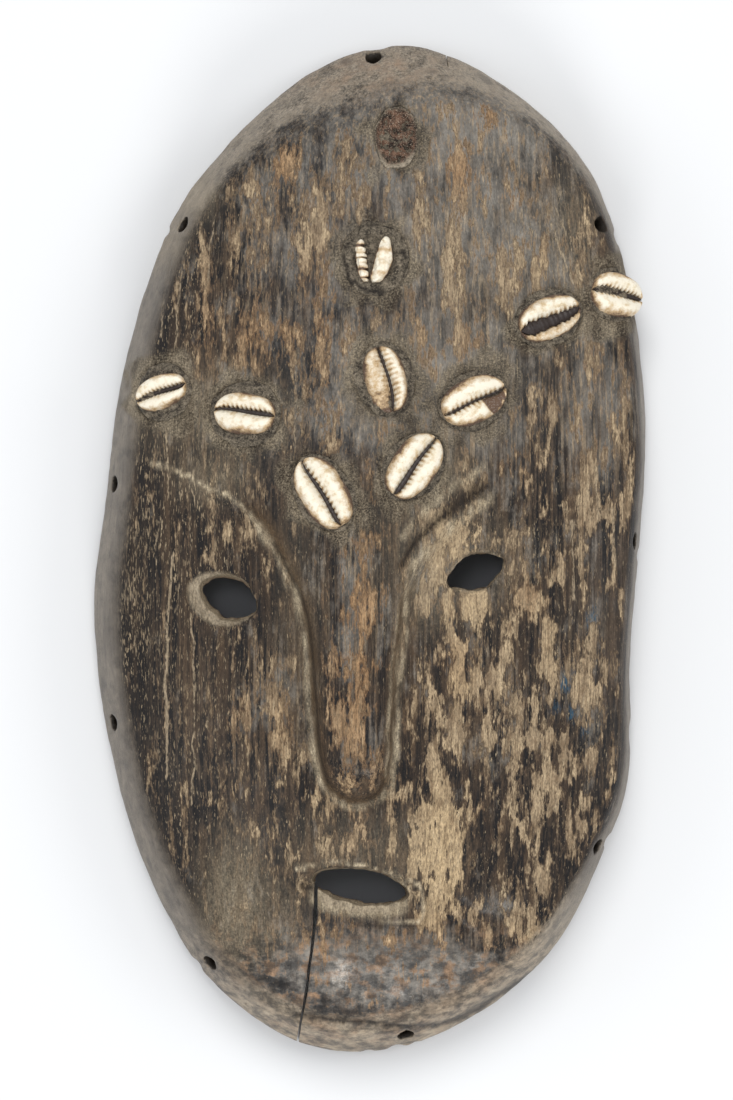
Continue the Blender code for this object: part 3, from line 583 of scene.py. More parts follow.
def step_wall_patina_and_shade(survey):
    """1 on the steep wall under the brow and round the nose, darkest at its foot: where dark patina and
    painted shade go.
    """
    share, aside = wall_share(survey)
    below = np.exp(-((np.maximum(np.abs(share - 0.48) - 0.32, 0) / 0.20) ** 2))
    above = 0.55 * smooth((0.0030 - survey.brow) / 0.0030)
    left_side = smooth((0.42 - aside) / 0.10)
    right_side = 0.72 * smooth((0.21 - aside) / 0.05)
    side = np.where(survey.u < NOSE_AXIS, left_side, right_side)
    return np.where(survey.over, above, below) * side


def step_foot(survey):
    """1 on the thin dusty ledge at the foot of that wall, beside the nose."""
    share, aside = wall_share(survey)
    ledge = np.exp(-(((share - 1.16) / 0.24) ** 2)) * smooth((0.24 - aside) / 0.08)
    return np.where(survey.over, 0.0, ledge)


def bed_share(points, setting):
    """0 at the middle of a resin bed and 1 at its outer edge."""
    turn = math.radians(setting.turn)
    away = points - place((setting.u, setting.v))
    along = away @ (math.cos(turn), math.sin(turn))
    across = away @ (-math.sin(turn), math.cos(turn))
    return np.hypot(along / (setting.bed_length / 2), across / (setting.bed_width / 2))


def sockets(points):
    """Depth of the pockets that hold the resin beds."""
    depth = np.zeros(len(points))
    for setting in SETTINGS:
        depth = np.maximum(depth, SOCKET_DEPTH * smooth((0.97 - bed_share(points, setting)) / 0.16))
    return depth


def mouth_frame(points):
    """Depth of the bevelled frame that is cut round the mouth, deeper towards the opening."""
    c, s = math.cos(MOUTH_FRAME_TILT), math.sin(MOUTH_FRAME_TILT)
    away = (points - np.array(MOUTH_FRAME_AT) * MM) @ np.array([[c, -s], [s, c]])
    away = np.abs(away / (np.array(MOUTH_FRAME_HALF) * MM))
    far = (away[:, 0] ** 3.4 + away[:, 1] ** 3.4) ** (1 / 3.4)
    return MOUTH_FRAME_DEPTH * smooth((1.0 - far) / 0.55)


def eye_frames(points):
    """Depth of the worn rounding round the eyes."""
    depth = np.zeros(len(points))
    for eye, (reach, lean) in zip(EYES, EYE_FRAMES):
        centre = place((eye.u, eye.v)) + np.array(eye.shift) + lean
        tilt = math.radians(eye.tilt)
        away = points - centre
        along = away @ (math.cos(tilt), math.sin(tilt)) / (eye.half_length + eye.flare + reach)
        across = away @ (-math.sin(tilt), math.cos(tilt)) / (eye.half_height + eye.flare + reach)
        far = (np.abs(along) ** 1.8 + np.abs(across) ** 1.8) ** (1 / 1.8)
        depth = np.maximum(depth, EYE_FRAME_DEPTH * smooth((1.0 - far) / 0.35))
    return depth


def cord_wear(points):
    """Depth of the grooves that the cords wore from their holes out over the edge."""
    depth = np.zeros(len(points))
    for hole in CORD_HOLES:
        start = place(hole)
        out = start / np.linalg.norm(start)
        far = distance_to(points, np.array([start, start + out * CORD_GROOVE_LENGTH]))
        depth = np.maximum(depth, CORD_GROOVE_DEPTH * np.exp(-((far / 0.0019) ** 2)))
    return depth


def chin_swells(survey):
    """Height of the soft uneven swells over the polished chin."""
    low = smooth((-survey.v - 0.66) / 0.12) * smooth((survey.across() - 0.9) / 0.4)
    return low * CHIN_SWELL * (layered(survey.points, (0.0100, 0.0070), 2, 16) - 0.5)


def relief(survey, bare):
    """What the carving, the grain and the wear add to the height of the front."""
    points = survey.points
    on_face = smooth((survey.across() - 0.7) / 0.5)
    fibres = layered(points, (0.0007, 0.012), 2, 1) - 0.5
    streaks = layered(points, (0.0024, 0.045), 3, 5) - 0.5
    cuts = layered(points, (0.011, 0.024), 2, 9) - 0.5
    height = ADZE_RELIEF * cuts * (0.5 + 0.5 * on_face)
    grainy = on_face * (1 - 0.85 * smooth((-survey.v - 0.70) / 0.10))
    height += grainy * (FIBRE_RELIEF * 2 * fibres + STREAK_RELIEF * 2 * streaks)
    height -= WORN_DEPTH * smooth((bare - 0.40) / 0.16)
    height += 0.00008 * (1 - on_face) * (layered(points, (0.004, 0.004), 2, 13) - 0.5)
    height -= GROOVE_DEPTH * drawn(points, GROOVES) + SCRATCH_DEPTH * drawn(points, SCRATCHES)
    height += chin_swells(survey) + 0.0005 * step_foot(survey)
    return height - sockets(points) - mouth_frame(points) - eye_frames(points) - cord_wear(points)


def gouged(points):
    """What the gouge left on the hollow's surface: long shallow scoops with low ridges between."""
    scoops = layered(points, (0.010, 0.030), 2, 21)
    return GOUGE_RELIEF * (np.abs(2 * scoops - 1) - 0.5) + 0.00015 * (noise(points, (0.002, 0.02), 25) - 0.5)


def chipped(loop):
    """The outline with its chips, never outside the smooth one."""
    run = np.linspace(0, 2 * math.pi, len(loop), endpoint=False)
    ripple = layered(np.column_stack([np.cos(run), np.sin(run)]), (0.09, 0.09), 3, 31)
    depth = EDGE_RIPPLE * ripple + 0.00005
    for x, y, half_width, chip_depth in CHIPS:
        far = np.linalg.norm(loop - np.array((x, y)) * MM, axis=1) / (half_width * MM)
        depth = depth + chip_depth * MM * np.exp(-(far**4))
    return loop + inward_normals(loop) * depth[:, None]


def inward_normals(loop):
    """Unit normals of a counterclockwise loop, pointing in."""
    along = np.roll(loop, -1, axis=0) - np.roll(loop, 1, axis=0)
    normal = np.column_stack([-along[:, 1], along[:, 0]])
    return normal / np.linalg.norm(normal, axis=1)[:, None]


def lattice(step, row_step):
    """Points in staggered rows over the mask's box."""
    rows = []
    for k, y in enumerate(np.arange(-HALF[1], HALF[1], row_step)):
        x = np.arange(-HALF[0] + (k % 2) * step / 2, HALF[0], step)
        rows.append(np.column_stack([x, np.full(len(x), y)]))
    return np.vstack(rows)


def clear_of(points, others, gap, squash):
    """The points that keep a gap to all the others, with lengths along the grain squashed."""
    tree = KDTree(len(others))
    for k, (x, y) in enumerate(others):
        tree.insert((x, y * squash, 0), k)
    tree.balance()
    return points[[tree.find((x, y * squash, 0))[2] > gap for x, y in points]]


def triangulate(rings, loose, squash):
    """Delaunay triangles inside the first ring. Returns points and faces."""
    points, edges = [], []
    for ring in rings:
        first, count = sum(map(len, points)), len(ring)
        points.append(ring)
        edges += [(first + k, first + (k + 1) % count) for k in range(count)]
    flat = np.vstack([*points, loose]) * (1, squash)
    made = delaunay_2d_cdt([Vector(p) for p in flat], edges, [], 1, 1e-8)
    return np.array([tuple(p) for p in made[0]]) / (1, squash), made[2]


def surface(edge, rings, step, row_step, margin):
    """Points and triangles of one side: rings near the edge and a lattice within."""
    squash = step / row_step
    loose = lattice(step, row_step)
    loose = loose[Survey(loose).edge > margin]
    loose = clear_of(loose, np.vstack([edge, *rings]), step * 0.55, squash)
    return triangulate([edge, *rings], loose, squash)


def wood_heights(front, back, count):
    """Heights of the front's and the back's points. The first ones of each are its edge."""
    seen = Survey(front)
    front_height = seen.face() + relief(seen, bareness(seen))
    front_height[:count] = EDGE_HEIGHT
    behind = Survey(back)
    back_height = behind.hollow() + smooth((behind.edge - RIM_WIDTH) / 0.004) * gouged(back)
    back_height[:count] = 0.0
    return np.maximum(front_height, LOWEST_FRONT), np.clip(back_height, 0.0, None)


def wood_mesh():
    """The closed wooden shell with its fine relief, before its holes are cut."""
    length = np.linalg.norm(np.diff(OUTLINE_CURVE, axis=0), axis=1).sum()
    smooth_edge = even_points(OUTLINE_CURVE, int(length / EDGE_STEP))
    edge = chipped(smooth_edge)
    normals = inward_normals(smooth_edge)
    width = Survey(smooth_edge).border()[:, None]
    bite = (edge - smooth_edge) * 0.7
    face_rings = [
        smooth_edge + bite * (1 - share) + normals * (width * share + 0.0003) for share in FACE_RINGS
    ]
    back_rings = [smooth_edge + normals * (RIM_WIDTH + HOLLOW_EASE * share) for share in BACK_RINGS]
    front, front_faces = surface(edge, face_rings, ACROSS_STEP, ALONG_STEP, 0.0010)
    foot = smooth_edge + (edge - smooth_edge) + normals * 0.0004
    back, back_faces = surface(foot, back_rings, BACK_STEP, BACK_STEP * 1.4, 0.0022)
    count = len(edge)
    front_height, back_height = wood_heights(front, back, count)
    sides = [np.column_stack([edge, np.full(count, EDGE_HEIGHT * level)]) for level in RIM_LEVELS]
    vertices = [np.column_stack([front, front_height]), *sides, np.column_stack([back, back_height])]
    first_back = len(front) + count * len(RIM_LEVELS)
    loops = [0, *(len(front) + count * k for k in range(len(RIM_LEVELS))), first_back]
    faces = [tuple(face) for face in front_faces]
    faces += [tuple(first_back + k for k in reversed(face)) for face in back_faces]
    for upper, lower in zip(loops, loops[1:]):
        for k in range(count):
            after = (k + 1) % count
            faces.append((upper + k, lower + k, lower + after, upper + after))
    return np.vstack(vertices), faces


def superellipse(half_length, half_width, fullness, sides):
    """A closed loop, pointed below a fullness of 2 and squarer above it."""
    angle = 2 * math.pi * np.arange(sides) / sides
    c, s = np.cos(angle), np.sin(angle)
    x = half_length * np.sign(c) * np.abs(c) ** (2 / fullness)
    y = half_width * np.sign(s) * np.abs(s) ** (2 / fullness)
    return np.column_stack([x, y])


def loft(rings):
    """A closed solid through rings of the same count, each an array of points, capped at both ends."""
    count = len(rings[0])
    faces = [tuple(reversed(range(count)))]
    for low in range(0, (len(rings) - 1) * count, count):
        for k in range(count):
            after = (k + 1) % count
            faces.append((low + k, low + after, low + count + after, low + count + k))
    top = (len(rings) - 1) * count
    faces.append(tuple(top + k for k in range(count)))
    return np.vstack(rings), faces


def joined(solids):
    """Several solids as one list of points and faces."""
    vertices, faces, first = [], [], 0
    for points, polygons in solids:
        vertices.append(points)
        faces += [tuple(first + k for k in polygon) for polygon in polygons]
        first += len(points)
    return np.vstack(vertices), faces


def level_ring(loop, height):
    return np.column_stack([loop, np.full(len(loop), height)])


def opening_levels(back, front):
    """Heights of an opening's sections, and how far each is widened towards the front."""
    steps = [(back + (front - back) * k / OPENING_LEVELS, (k / OPENING_LEVELS) ** 1.4)
             for k in range(OPENING_LEVELS + 1)]
    return [(0.002, 0.0), *steps, (2 * front - back, 2.0)]


def opening_solid(opening, seed):
    """The space of an eye or the mouth, with a hand-cut wall that widens towards the front."""
    centre = place((opening.u, opening.v))
    tilt = math.radians(opening.tilt)
    turn = np.array([[math.cos(tilt), math.sin(tilt)], [-math.sin(tilt), math.cos(tilt)]])
    here = Survey(centre)
    rings = []
    for height, share in opening_levels(float(here.hollow()[0]) - 0.001, float(here.face()[0])):
        grow = opening.flare * share
        loop = superellipse(
            opening.half_length + grow, opening.half_height + grow, opening.fullness, OPENING_SIDES
        )
        loop = loop @ turn + centre + np.array(opening.shift) * share
        wall = level_ring(loop, height)
        cut_marks = layered(wall, (0.0030, 0.0030, 0.006), 2, seed)
        cut_marks = cut_marks + 0.6 * noise(wall, (0.001, 0.001, 0.004), seed + 5)
        loop = loop + inward_normals(loop) * ((cut_marks - 0.8) * OPENING_ROUGHNESS)[:, None]
        rings.append(level_ring(loop, height))
    return loft(rings)


def blade(line, width, end_share, seed):
    """A thin upright blade that narrows along its line and wavers a little."""
    line = curve_through(line, 6, closed=False)
    half = np.linspace(1.0, end_share, len(line)) * width / 2
    half = half * (0.75 + 0.5 * noise(line, (0.004, 0.004), seed))
    along = np.gradient(line, axis=0)
    across = np.column_stack([along[:, 1], -along[:, 0]])
    across /= np.linalg.norm(across, axis=1)[:, None]
    line = line + across * ((noise(line, (0.006, 0.006), seed + 1) - 0.5) * 0.0005)[:, None]
    loop = np.vstack([line + across * half[:, None], (line - across * half[:, None])[::-1]])
    return loft([level_ring(loop, -EDGE_HEIGHT), level_ring(loop, HIGH.z)])


def cord_hole_solid(share, seed):
    """A slanting hole through the border, worn wider at its mouth."""
    point = place(share)
    nearest = int(np.argmin(np.linalg.norm(OUTLINE_CURVE - point, axis=1)))
    out = -inward_normals(OUTLINE_CURVE)[nearest]
    axis = Vector((*(out * math.cos(CORD_HOLE_SLOPE)), math.sin(CORD_HOLE_SLOPE)))
    mouth = Vector((*point, float(Survey(point).face()[0])))
    rings = []
    for depth in np.linspace(-CORD_HOLE_REACH, CORD_HOLE_REACH / 2, HOLE_LEVELS):
        opened = smooth((depth + 0.0030) / 0.0035)
        radius = CORD_HOLE_DIAMETER / 2 * (1.15 + 0.45 * opened)
        ring = level_ring(superellipse(radius, radius * (1.15 + 0.45 * opened), 2, HOLE_SIDES), depth)
        uneven = 1 + 0.16 * (noise(ring, (0.002, 0.002, 0.004), seed) - 0.5)
        rings.append(ring * np.column_stack([uneven, uneven, np.ones(len(ring))]))
    turn = axis.to_track_quat("Z", "Y").to_matrix().to_4x4()
    points, faces = loft(rings)
    return moved(points, Matrix.Translation(mouth) @ turn), faces


def moved(points, matrix):
    m = np.array(matrix)
    return points @ m[:3, :3].T + m[:3, 3]


def mesh_of(name, solid):
    points, faces = solid
    mesh = bpy.data.meshes.new(name)
    mesh.from_pydata([tuple(p) for p in points], [], faces)
    mesh.update()
    return mesh


def piece_of(name, mesh, material, slot, *nodes):
    """A shown piece that stands for its CAD nodes."""
    mesh.polygons.foreach_set("use_smooth", [True] * len(mesh.polygons))
    mesh.materials.clear()
    mesh.materials.append(material)
    piece = bpy.data.objects.new(name, mesh)
    bpy.context.scene.collection.objects.link(piece)
    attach(piece, "root")
    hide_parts(*nodes)
    return piece


def set_attribute(mesh, name, values):
    layer = mesh.attributes.new(name, "FLOAT", "POINT")
    layer.data.foreach_set("value", np.asarray(values, np.float32))


def cut(mesh, solids):
    """The mesh with solids cut out of it, one Boolean for each."""
    wood = bpy.data.objects.new("uncut", mesh)
    bpy.context.scene.collection.objects.link(wood)
    cutters = []
    for solid in solids:
        cutter = bpy.data.objects.new("cutter", mesh_of("cutter", solid))
        bpy.context.scene.collection.objects.link(cutter)
        modifier = wood.modifiers.new("cut", "BOOLEAN")
        modifier.operation = "DIFFERENCE"
        modifier.object = cutter
        cutters.append(cutter)
    ready = wood.evaluated_get(bpy.context.evaluated_depsgraph_get())
    made = bpy.data.meshes.new_from_object(ready)
    for spare in (wood, *cutters):
        bpy.data.objects.remove(spare)
    return made


def carved_wood():
    """The wooden shell with its eyes, mouth, cord holes and splits cut."""
    openings = [opening_solid(o, 70 + k) for k, o in enumerate(OPENINGS)]
    holes = [cord_hole_solid(h, 80 + k) for k, h in enumerate(CORD_HOLES)]
    split = blade(place(SPLIT_LINE), SPLIT_WIDTH, SPLIT_END_SHARE, 90)
    top_split = blade(np.array(TOP_SPLIT_LINE) * MM, TOP_SPLIT_WIDTH, TOP_SPLIT_END_SHARE, 94)
    return cut(mesh_of("mask_wood", wood_mesh()), [joined(openings + holes), joined([split, top_split])])


def border_marks(seen):
    """The handled border: its ends, rim and outer side, the chin, and the black band within the rim. The
    ends and the outer side mark where the border is lighter, partly as painted light.
    """
    across = seen.across()
    top = smooth((seen.v - 0.62) / 0.22)
    foot = smooth((-seen.v - 0.80 + 0.18 * smooth((seen.u - 0.2) / 0.4)) / 0.14)
    right = smooth((seen.u - 0.30) / 0.40) * (1 - top) * smooth((seen.v + 0.66) / 0.16)
    black = smooth((2.4 - across) / 1.2) * smooth((0.2 - seen.u) / 0.5)
    return {
        "ends": np.maximum(top, foot),
        "rim": (1 - smooth((across - 0.62 + 0.25 * top + 0.42 * right) / 0.55)) * (1 - 0.35 * top),
        "outer": smooth((1.0 - across) / 0.85),
        "chin": smooth((-seen.v - 0.70) / 0.12),
        "black": np.clip(black, 0, 1),
    }


def side_marks(seen, bare, height):
    """Which points are on the carved front, and which on the hollow's surface."""
    depth = np.maximum(seen.face() + relief(seen, bare), LOWEST_FRONT) - height
    return {
        "front": np.where(seen.edge > 0.0016, 1 - smooth((depth - 0.0002) / 0.0004), 1.0),
        "behind": smooth((seen.hollow() + 0.0022 - height) / 0.0008) * (depth > 0.003),
    }


def opening_marks(points):
    """The worn lips of the eyes, strongest at the left eye, and the mouth's lower lip, pale partly as
    painted light; and the insides of the cord holes, which get painted shade.
    """
    hole = np.zeros(len(points))
    for share in CORD_HOLES:
        hole = np.maximum(hole, np.exp(-((np.linalg.norm(points - place(share), axis=1) / 0.006) ** 4)))
    eye_lip = eye_frames(points) / EYE_FRAME_DEPTH * np.where(points[:, 0] < 0, 1.0, 0.55)
    mouth_lip = smooth((mouth_frame(points) / MOUTH_FRAME_DEPTH - 0.5) / 0.5) * (points[:, 1] < -0.104)
    return {"hole": hole, "lip_wear_and_painted_light": np.maximum(eye_lip, mouth_lip)}


def grime_round_beds(points):
    """1 on the wood next to the resin beds, with a ragged limit."""
    near = np.zeros(len(points))
    for setting in SETTINGS:
        near = np.maximum(near, smooth((1.40 - bed_share(points, setting)) / 0.42))
    return near


def dust_marks(seen, ragged):
    """Dust in the hollows, at the foot of the step, along the carved lines and in the mouth's frame."""
    points = seen.points
    uneven = 0.22 + 1.10 * layered(points, (0.0012, 0.0050), 3, 47)
    along = drawn(wander(points, 0.0012, (0.002, 0.006), 46), DUST_LINES)
    in_frame = 0.8 * smooth((mouth_frame(points) / MOUTH_FRAME_DEPTH - 0.05) / 0.5)
    dust = np.maximum(painted(ragged, DUST, 0.95), 0.6 * step_foot(seen) * uneven)
    return np.maximum(np.maximum(dust, along * uneven), in_frame)


def wood_marks(seen, height):
    """Everything that the wood's material reads from its mesh."""
    points = seen.points
    bare = bareness(seen)
    ragged = wander(points, 0.003, (0.002, 0.005), 44)
    wide = wander(wander(points, 0.009, (0.007, 0.007), 48), 0.004, (0.002, 0.002), 49)
    grime = grime_round_beds(wide)
    patches = {"pale": PALE, "ruddy": RUDDY, "polish": POLISH_AND_PAINTED_SHEEN, "haze": HAZE, "flecks": FLECKS}
    return {
        **{name: painted(ragged, table, 0.9) for name, table in patches.items()},
        **border_marks(seen),
        **side_marks(seen, bare, height),
        **opening_marks(points),
        "bare": bare * (1 - 0.75 * grime),
        "grime": grime,
        "wall": step_wall_patina_and_shade(seen) * smooth((seen.across() - 1.0) / 0.5),
        "dust": dust_marks(seen, ragged),
        "scratch": drawn(wander(points, 0.0012, (0.003, 0.006), 45), SCRATCHES),
        "groove_painted_shade": np.minimum(drawn(points, GROOVES), 1.0),
        "gloss_and_painted_highlight": painted(wide, PAINTED_HIGHLIGHT_SPOTS, 0.95),
        "blue": painted(ragged, BLUE),
    }


def build_wood():
    mesh = carved_wood()
    co = np.empty(len(mesh.vertices) * 3)
    mesh.vertices.foreach_get("co", co)
    co = co.reshape(-1, 3)
    marks = wood_marks(Survey(co[:, :2]), co[:, 2])
    for name, values in marks.items():
        set_attribute(mesh, name, values)
    return piece_of("mask_wood", mesh, wood_material(), "patinated_wood", "mask")


class Shader:
    """A material's nodes, with one short call for each kind."""

    def __init__(self, name):
        self.material = bpy.data.materials.new(name)
        self.material.use_nodes = True
        self.tree = self.material.node_tree
        self.surface = self.tree.nodes["Principled BSDF"]
        self.place = self.tree.nodes.new("ShaderNodeTexCoord").outputs["Object"]

    def put(self, socket, value):
        if isinstance(value, bpy.types.NodeSocket):
            self.tree.links.new(value, socket)
        elif isinstance(value, tuple):
            socket.default_value = (*value, 1.0) if len(socket.default_value) == 4 else value
        else:
            socket.default_value = value

    def field(self, name):
        node = self.tree.nodes.new("ShaderNodeAttribute")
        node.attribute_name = name
        return node.outputs["Fac"]

    def noise(self, size, detail=3.0, roughness=0.55, spread=0.24, shift=0.0):
        """Noise of a given size in mm along each axis, spread out to fill 0 to 1."""
        mapping = self.tree.nodes.new("ShaderNodeMapping")
        self.put(mapping.inputs["Vector"], self.place)
        mapping.inputs["Scale"].default_value = [1 / (s * MM) for s in size]
        mapping.inputs["Location"].default_value = (shift, shift * 1.7, shift * 0.6)
        node = self.tree.nodes.new("ShaderNodeTexNoise")
        self.put(node.inputs["Vector"], mapping.outputs["Vector"])
        node.inputs["Scale"].default_value = 1.0
        node.inputs["Detail"].default_value = detail
        node.inputs["Roughness"].default_value = roughness
        return self.span(node.outputs["Fac"], 0.5 - spread, 0.5 + spread)

    def span(self, value, low, high, to_low=0.0, to_high=1.0, soft=False):
        node = self.tree.nodes.new("ShaderNodeMapRange")
        node.interpolation_type = "SMOOTHSTEP" if soft else "LINEAR"
        self.put(node.inputs["Value"], value)
        for key, number in (("From Min", low), ("From Max", high), ("To Min", to_low), ("To Max", to_high)):
            self.put(node.inputs[key], number)
        return node.outputs["Result"]

    def math(self, operation, a, b):
        node = self.tree.nodes.new("ShaderNodeMath")
        node.operation = operation
        self.put(node.inputs[0], a)
        self.put(node.inputs[1], b)
        return node.outputs[0]

    def times(self, a, b):
        return self.math("MULTIPLY", a, b)

    def plus(self, a, b):
        return self.math("ADD", a, b)

    def weighted(self, part, *others):
        """The sum of values, each times its weight."""
        scaled = self.times(*part)
        return self.plus(scaled, self.weighted(*others)) if others else scaled

    def mix(self, a, b, share, blend="MIX"):
        node = self.tree.nodes.new("ShaderNodeMix")
        node.data_type = "RGBA"
        node.blend_type = blend
        self.put(node.inputs["Factor"], share)
        self.put(node.inputs[6], a)
        self.put(node.inputs[7], b)
        return node.outputs[2]

    def bump(self, height, distance, normal=None):
        node = self.tree.nodes.new("ShaderNodeBump")
        node.inputs["Distance"].default_value = distance
        self.put(node.inputs["Height"], height)
        if normal is not None:
            self.put(node.inputs["Normal"], normal)
        return node.outputs["Normal"]

    def finish(self, colour, roughness, normal, specular=0.5):
        self.put(self.surface.inputs["Base Color"], colour)
        self.put(self.surface.inputs["Roughness"], roughness)
        self.put(self.surface.inputs["Normal"], normal)
        self.surface.inputs["Specular IOR Level"].default_value = specular
        return self.material


class WoodShader(Shader):
    """The wood's material, with the noises that its colours share."""

    def __init__(self, name):
        super().__init__(name)
        self.fibre = self.noise((0.50, 14.0, 0.50), 3.0, 0.6, 0.20)
        self.streak = self.noise((1.25, 55.0, 1.25), 4.0, 0.65, 0.19, 3.1)
        self.broad = self.noise((4.0, 80.0, 4.0), 4.0, 0.6, 0.20, 8.3)
        self.stripe = self.noise((1.00, 46.0, 1.00), 3.0, 0.6, 0.20, 12.4)
        self.fleck = self.noise((0.75, 3.4, 0.75), 3.0, 0.65, 0.19, 7.7)
        self.ticks = self.noise((0.42, 2.4, 0.42), 2.0, 0.6, 0.22, 4.9)
        self.grit = self.noise((0.55, 0.55, 0.55), 3.0, 0.7, 0.20, 5.2)
        self.cloud = self.noise((7.0, 14.0, 7.0), 4.0, 0.6, 0.20, 1.4)
        self.hue = self.noise((2.0, 12.0, 2.0), 4.0, 0.6, 0.20, 9.3)
        self.blot = self.noise((2.4, 6.5, 2.4), 5.0, 0.7, 0.20, 6.1)
        self.smudge = self.noise((5.5, 4.0, 5.5), 5.0, 0.62, 0.19, 17.0)
        self.rubbed = self.noise((9.0, 5.0, 8.0), 6.0, 0.65, 0.19, 2.2)
        self.lines = self.weighted((self.streak, 0.45), (self.fibre, 0.27), (self.blot, 0.28))
        smear = self.weighted((self.smudge, 0.8), (self.grit, 0.2))
        self.smear = self.mix(self.lines, smear, self.times(self.field("chin"), 0.95))


def patina_film(s, dark):
    """The patina under a warm grey film, with the brown stripes that show in it."""
    patchy = s.weighted((s.cloud, 0.40), (s.hue, 0.35), (s.streak, 0.25))
    film = s.mix((0.114, 0.109, 0.103), (0.302, 0.278, 0.242), patchy)
    veil = s.weighted((s.streak, 0.28), (s.cloud, 0.50), (s.blot, 0.22))
    uneven = s.span(s.field("haze"), 0.2, 0.8, 1.0, 0.45)
    haze = s.span(s.mix(veil, s.smear, s.field("chin")), 0, 1, -1.10, 0.80)
    haze = s.plus(s.field("haze"), s.times(haze, uneven))
    haze = s.times(s.span(haze, 0.15, 1.0), s.span(s.fibre, 0.0, 1.0, 0.95, 0.75))
    dark = s.mix(dark, film, haze)
    stripes = s.span(s.stripe, 0.56, 0.76, soft=True)
    stripes = s.times(stripes, s.span(s.field("haze"), 0.1, 0.7, 0.0, 0.85))
    stripes = s.times(stripes, s.span(s.field("chin"), 0, 1, 1.0, 0.0))
    brown = s.mix((0.150, 0.098, 0.054), (0.420, 0.318, 0.200), s.hue)
    return s.mix(dark, brown, s.times(stripes, s.span(s.cloud, 0.2, 0.8, 0.30, 0.95)))


def patina(s):
    """Black patina, browner and greyer where it thins, with painted grey sheen where it is polished. Also
    returns where it is polished.
    """
    dark = s.mix((0.0060, 0.0052, 0.0060), (0.080, 0.054, 0.034), s.span(s.lines, 0.42, 0.88))
    dark = s.mix(dark, (0.115, 0.072, 0.040), s.times(s.span(s.broad, 0.45, 0.95), 0.45))
    dark = s.mix(dark, (0.0075, 0.0064, 0.0066), s.times(s.field("black"), 0.58))
    dark = patina_film(s, dark)
    painted_sheen_grey = s.mix((0.110, 0.107, 0.104), (0.250, 0.240, 0.225), s.weighted((s.hue, 0.5), (s.cloud, 0.5)))
    uneven = s.span(s.weighted((s.smear, 0.6), (s.cloud, 0.4)), 0.25, 0.75, 0.25, 1.0)
    polish = s.times(s.field("polish"), uneven)
    # painted sheen: grey over the patina where it is polished
    dark = s.mix(dark, painted_sheen_grey, s.times(polish, 0.75))
    blue = s.times(s.field("blue"), s.span(s.fleck, 0.3, 0.65))
    return s.mix(dark, (0.022, 0.066, 0.110), blue), polish


def bare_wood(s):
    """Bare wood along its fibres: pale, ruddy or brown, with dark pores."""
    bare = s.mix((0.424, 0.325, 0.209), (0.235, 0.175, 0.114), s.span(s.hue, 0.25, 0.75))
    pores = s.times(s.span(s.ticks, 0.74, 0.92, 0.0, 0.75), s.span(s.field("pale"), 0, 1, 1.0, 0.3))
    for tone, share in (
        ((0.290, 0.165, 0.078), s.times(s.field("ruddy"), 0.86)),
        ((0.570, 0.425, 0.248), s.times(s.field("pale"), s.span(s.lines, 0.2, 0.8, 0.35, 0.90))),
        ((0.070, 0.047, 0.029), s.span(s.fibre, 0.56, 0.98, 0.0, 0.80)),
        ((0.600, 0.500, 0.345), s.span(s.fibre, 0.30, 0.0, 0.0, 0.40)),
        ((0.100, 0.066, 0.040), s.span(s.streak, 0.60, 0.95, 0.0, 0.70)),
        ((0.150, 0.102, 0.062), s.span(s.blot, 0.50, 0.95, 0.0, 0.85)),
        ((0.200, 0.145, 0.090), s.times(s.span(s.streak, 0.45, 0.10), 0.70)),
        ((0.045, 0.032, 0.024), pores),
    ):
        bare = s.mix(bare, tone, share)
    return bare


def worn_through(s, dark, bare):
    """Bare wood with a ragged limit and a brown half-worn margin. Also returns where it is bare."""
    limit = s.field("bare")
    for pattern, reach in ((s.fibre, 0.08), (s.fleck, 0.20), (s.ticks, 0.08), (s.streak, 0.13)):
        limit = s.plus(limit, s.span(pattern, 0, 1, -reach, reach))
    open_grain = s.span(s.field("haze"), 0.2, 0.7)
    thin = s.mix((0.150, 0.102, 0.064), (0.105, 0.070, 0.045), s.hue)
    thin = s.mix(thin, s.mix((0.300, 0.215, 0.130), (0.230, 0.135, 0.070), s.hue), open_grain)
    thin = s.mix(thin, (0.250, 0.132, 0.060), s.times(s.field("ruddy"), 0.7))
    faint = s.span(limit, s.span(open_grain, 0, 1, 0.345, 0.29), 0.50, 0.0, 0.80, soft=True)
    worn = s.span(limit, 0.45, 0.58, soft=True)
    return s.mix(s.mix(dark, thin, faint), bare, worn), worn


def ticked(s, colour):
    """Short pale ticks where the patina has opened, and the long scratches. Also returns both."""
    density = s.times(s.field("flecks"), s.span(s.cloud, 0.1, 0.9, 0.35, 1.0))
    spots = s.span(s.plus(s.ticks, s.times(density, 0.34)), 0.84, 1.02, soft=True)
    spots = s.times(spots, s.span(s.streak, 0.95, 0.35, 0.10, 1.0))
    spots = s.times(spots, s.span(s.field("chin"), 0, 1, 1.0, 0.3))
    tone = s.mix((0.180, 0.130, 0.080), (0.420, 0.335, 0.225), s.hue)
    colour = s.mix(colour, tone, s.times(spots, 0.82))
    scratch = s.plus(s.field("scratch"), s.span(s.ticks, 0, 1, -0.40, 0.25))
    scratch = s.span(scratch, 0.15, 0.6, soft=True)
    return s.mix(colour, (0.380, 0.300, 0.205), s.times(scratch, 0.75)), spots, scratch


def darken_step_walls_patina_and_shade(s, colour):
    """Dark brown on the steep walls under the brow and round the nose: their patina, and painted shade."""
    tone = s.mix((0.012, 0.007, 0.004), (0.170, 0.104, 0.050), s.weighted((s.grit, 0.35), (s.fleck, 0.65)))
    # dark brown patina and painted shade on the steep walls
    return s.mix(colour, tone, s.times(s.field("wall"), s.span(s.fleck, 0.1, 0.95, 1.0, 0.62)))


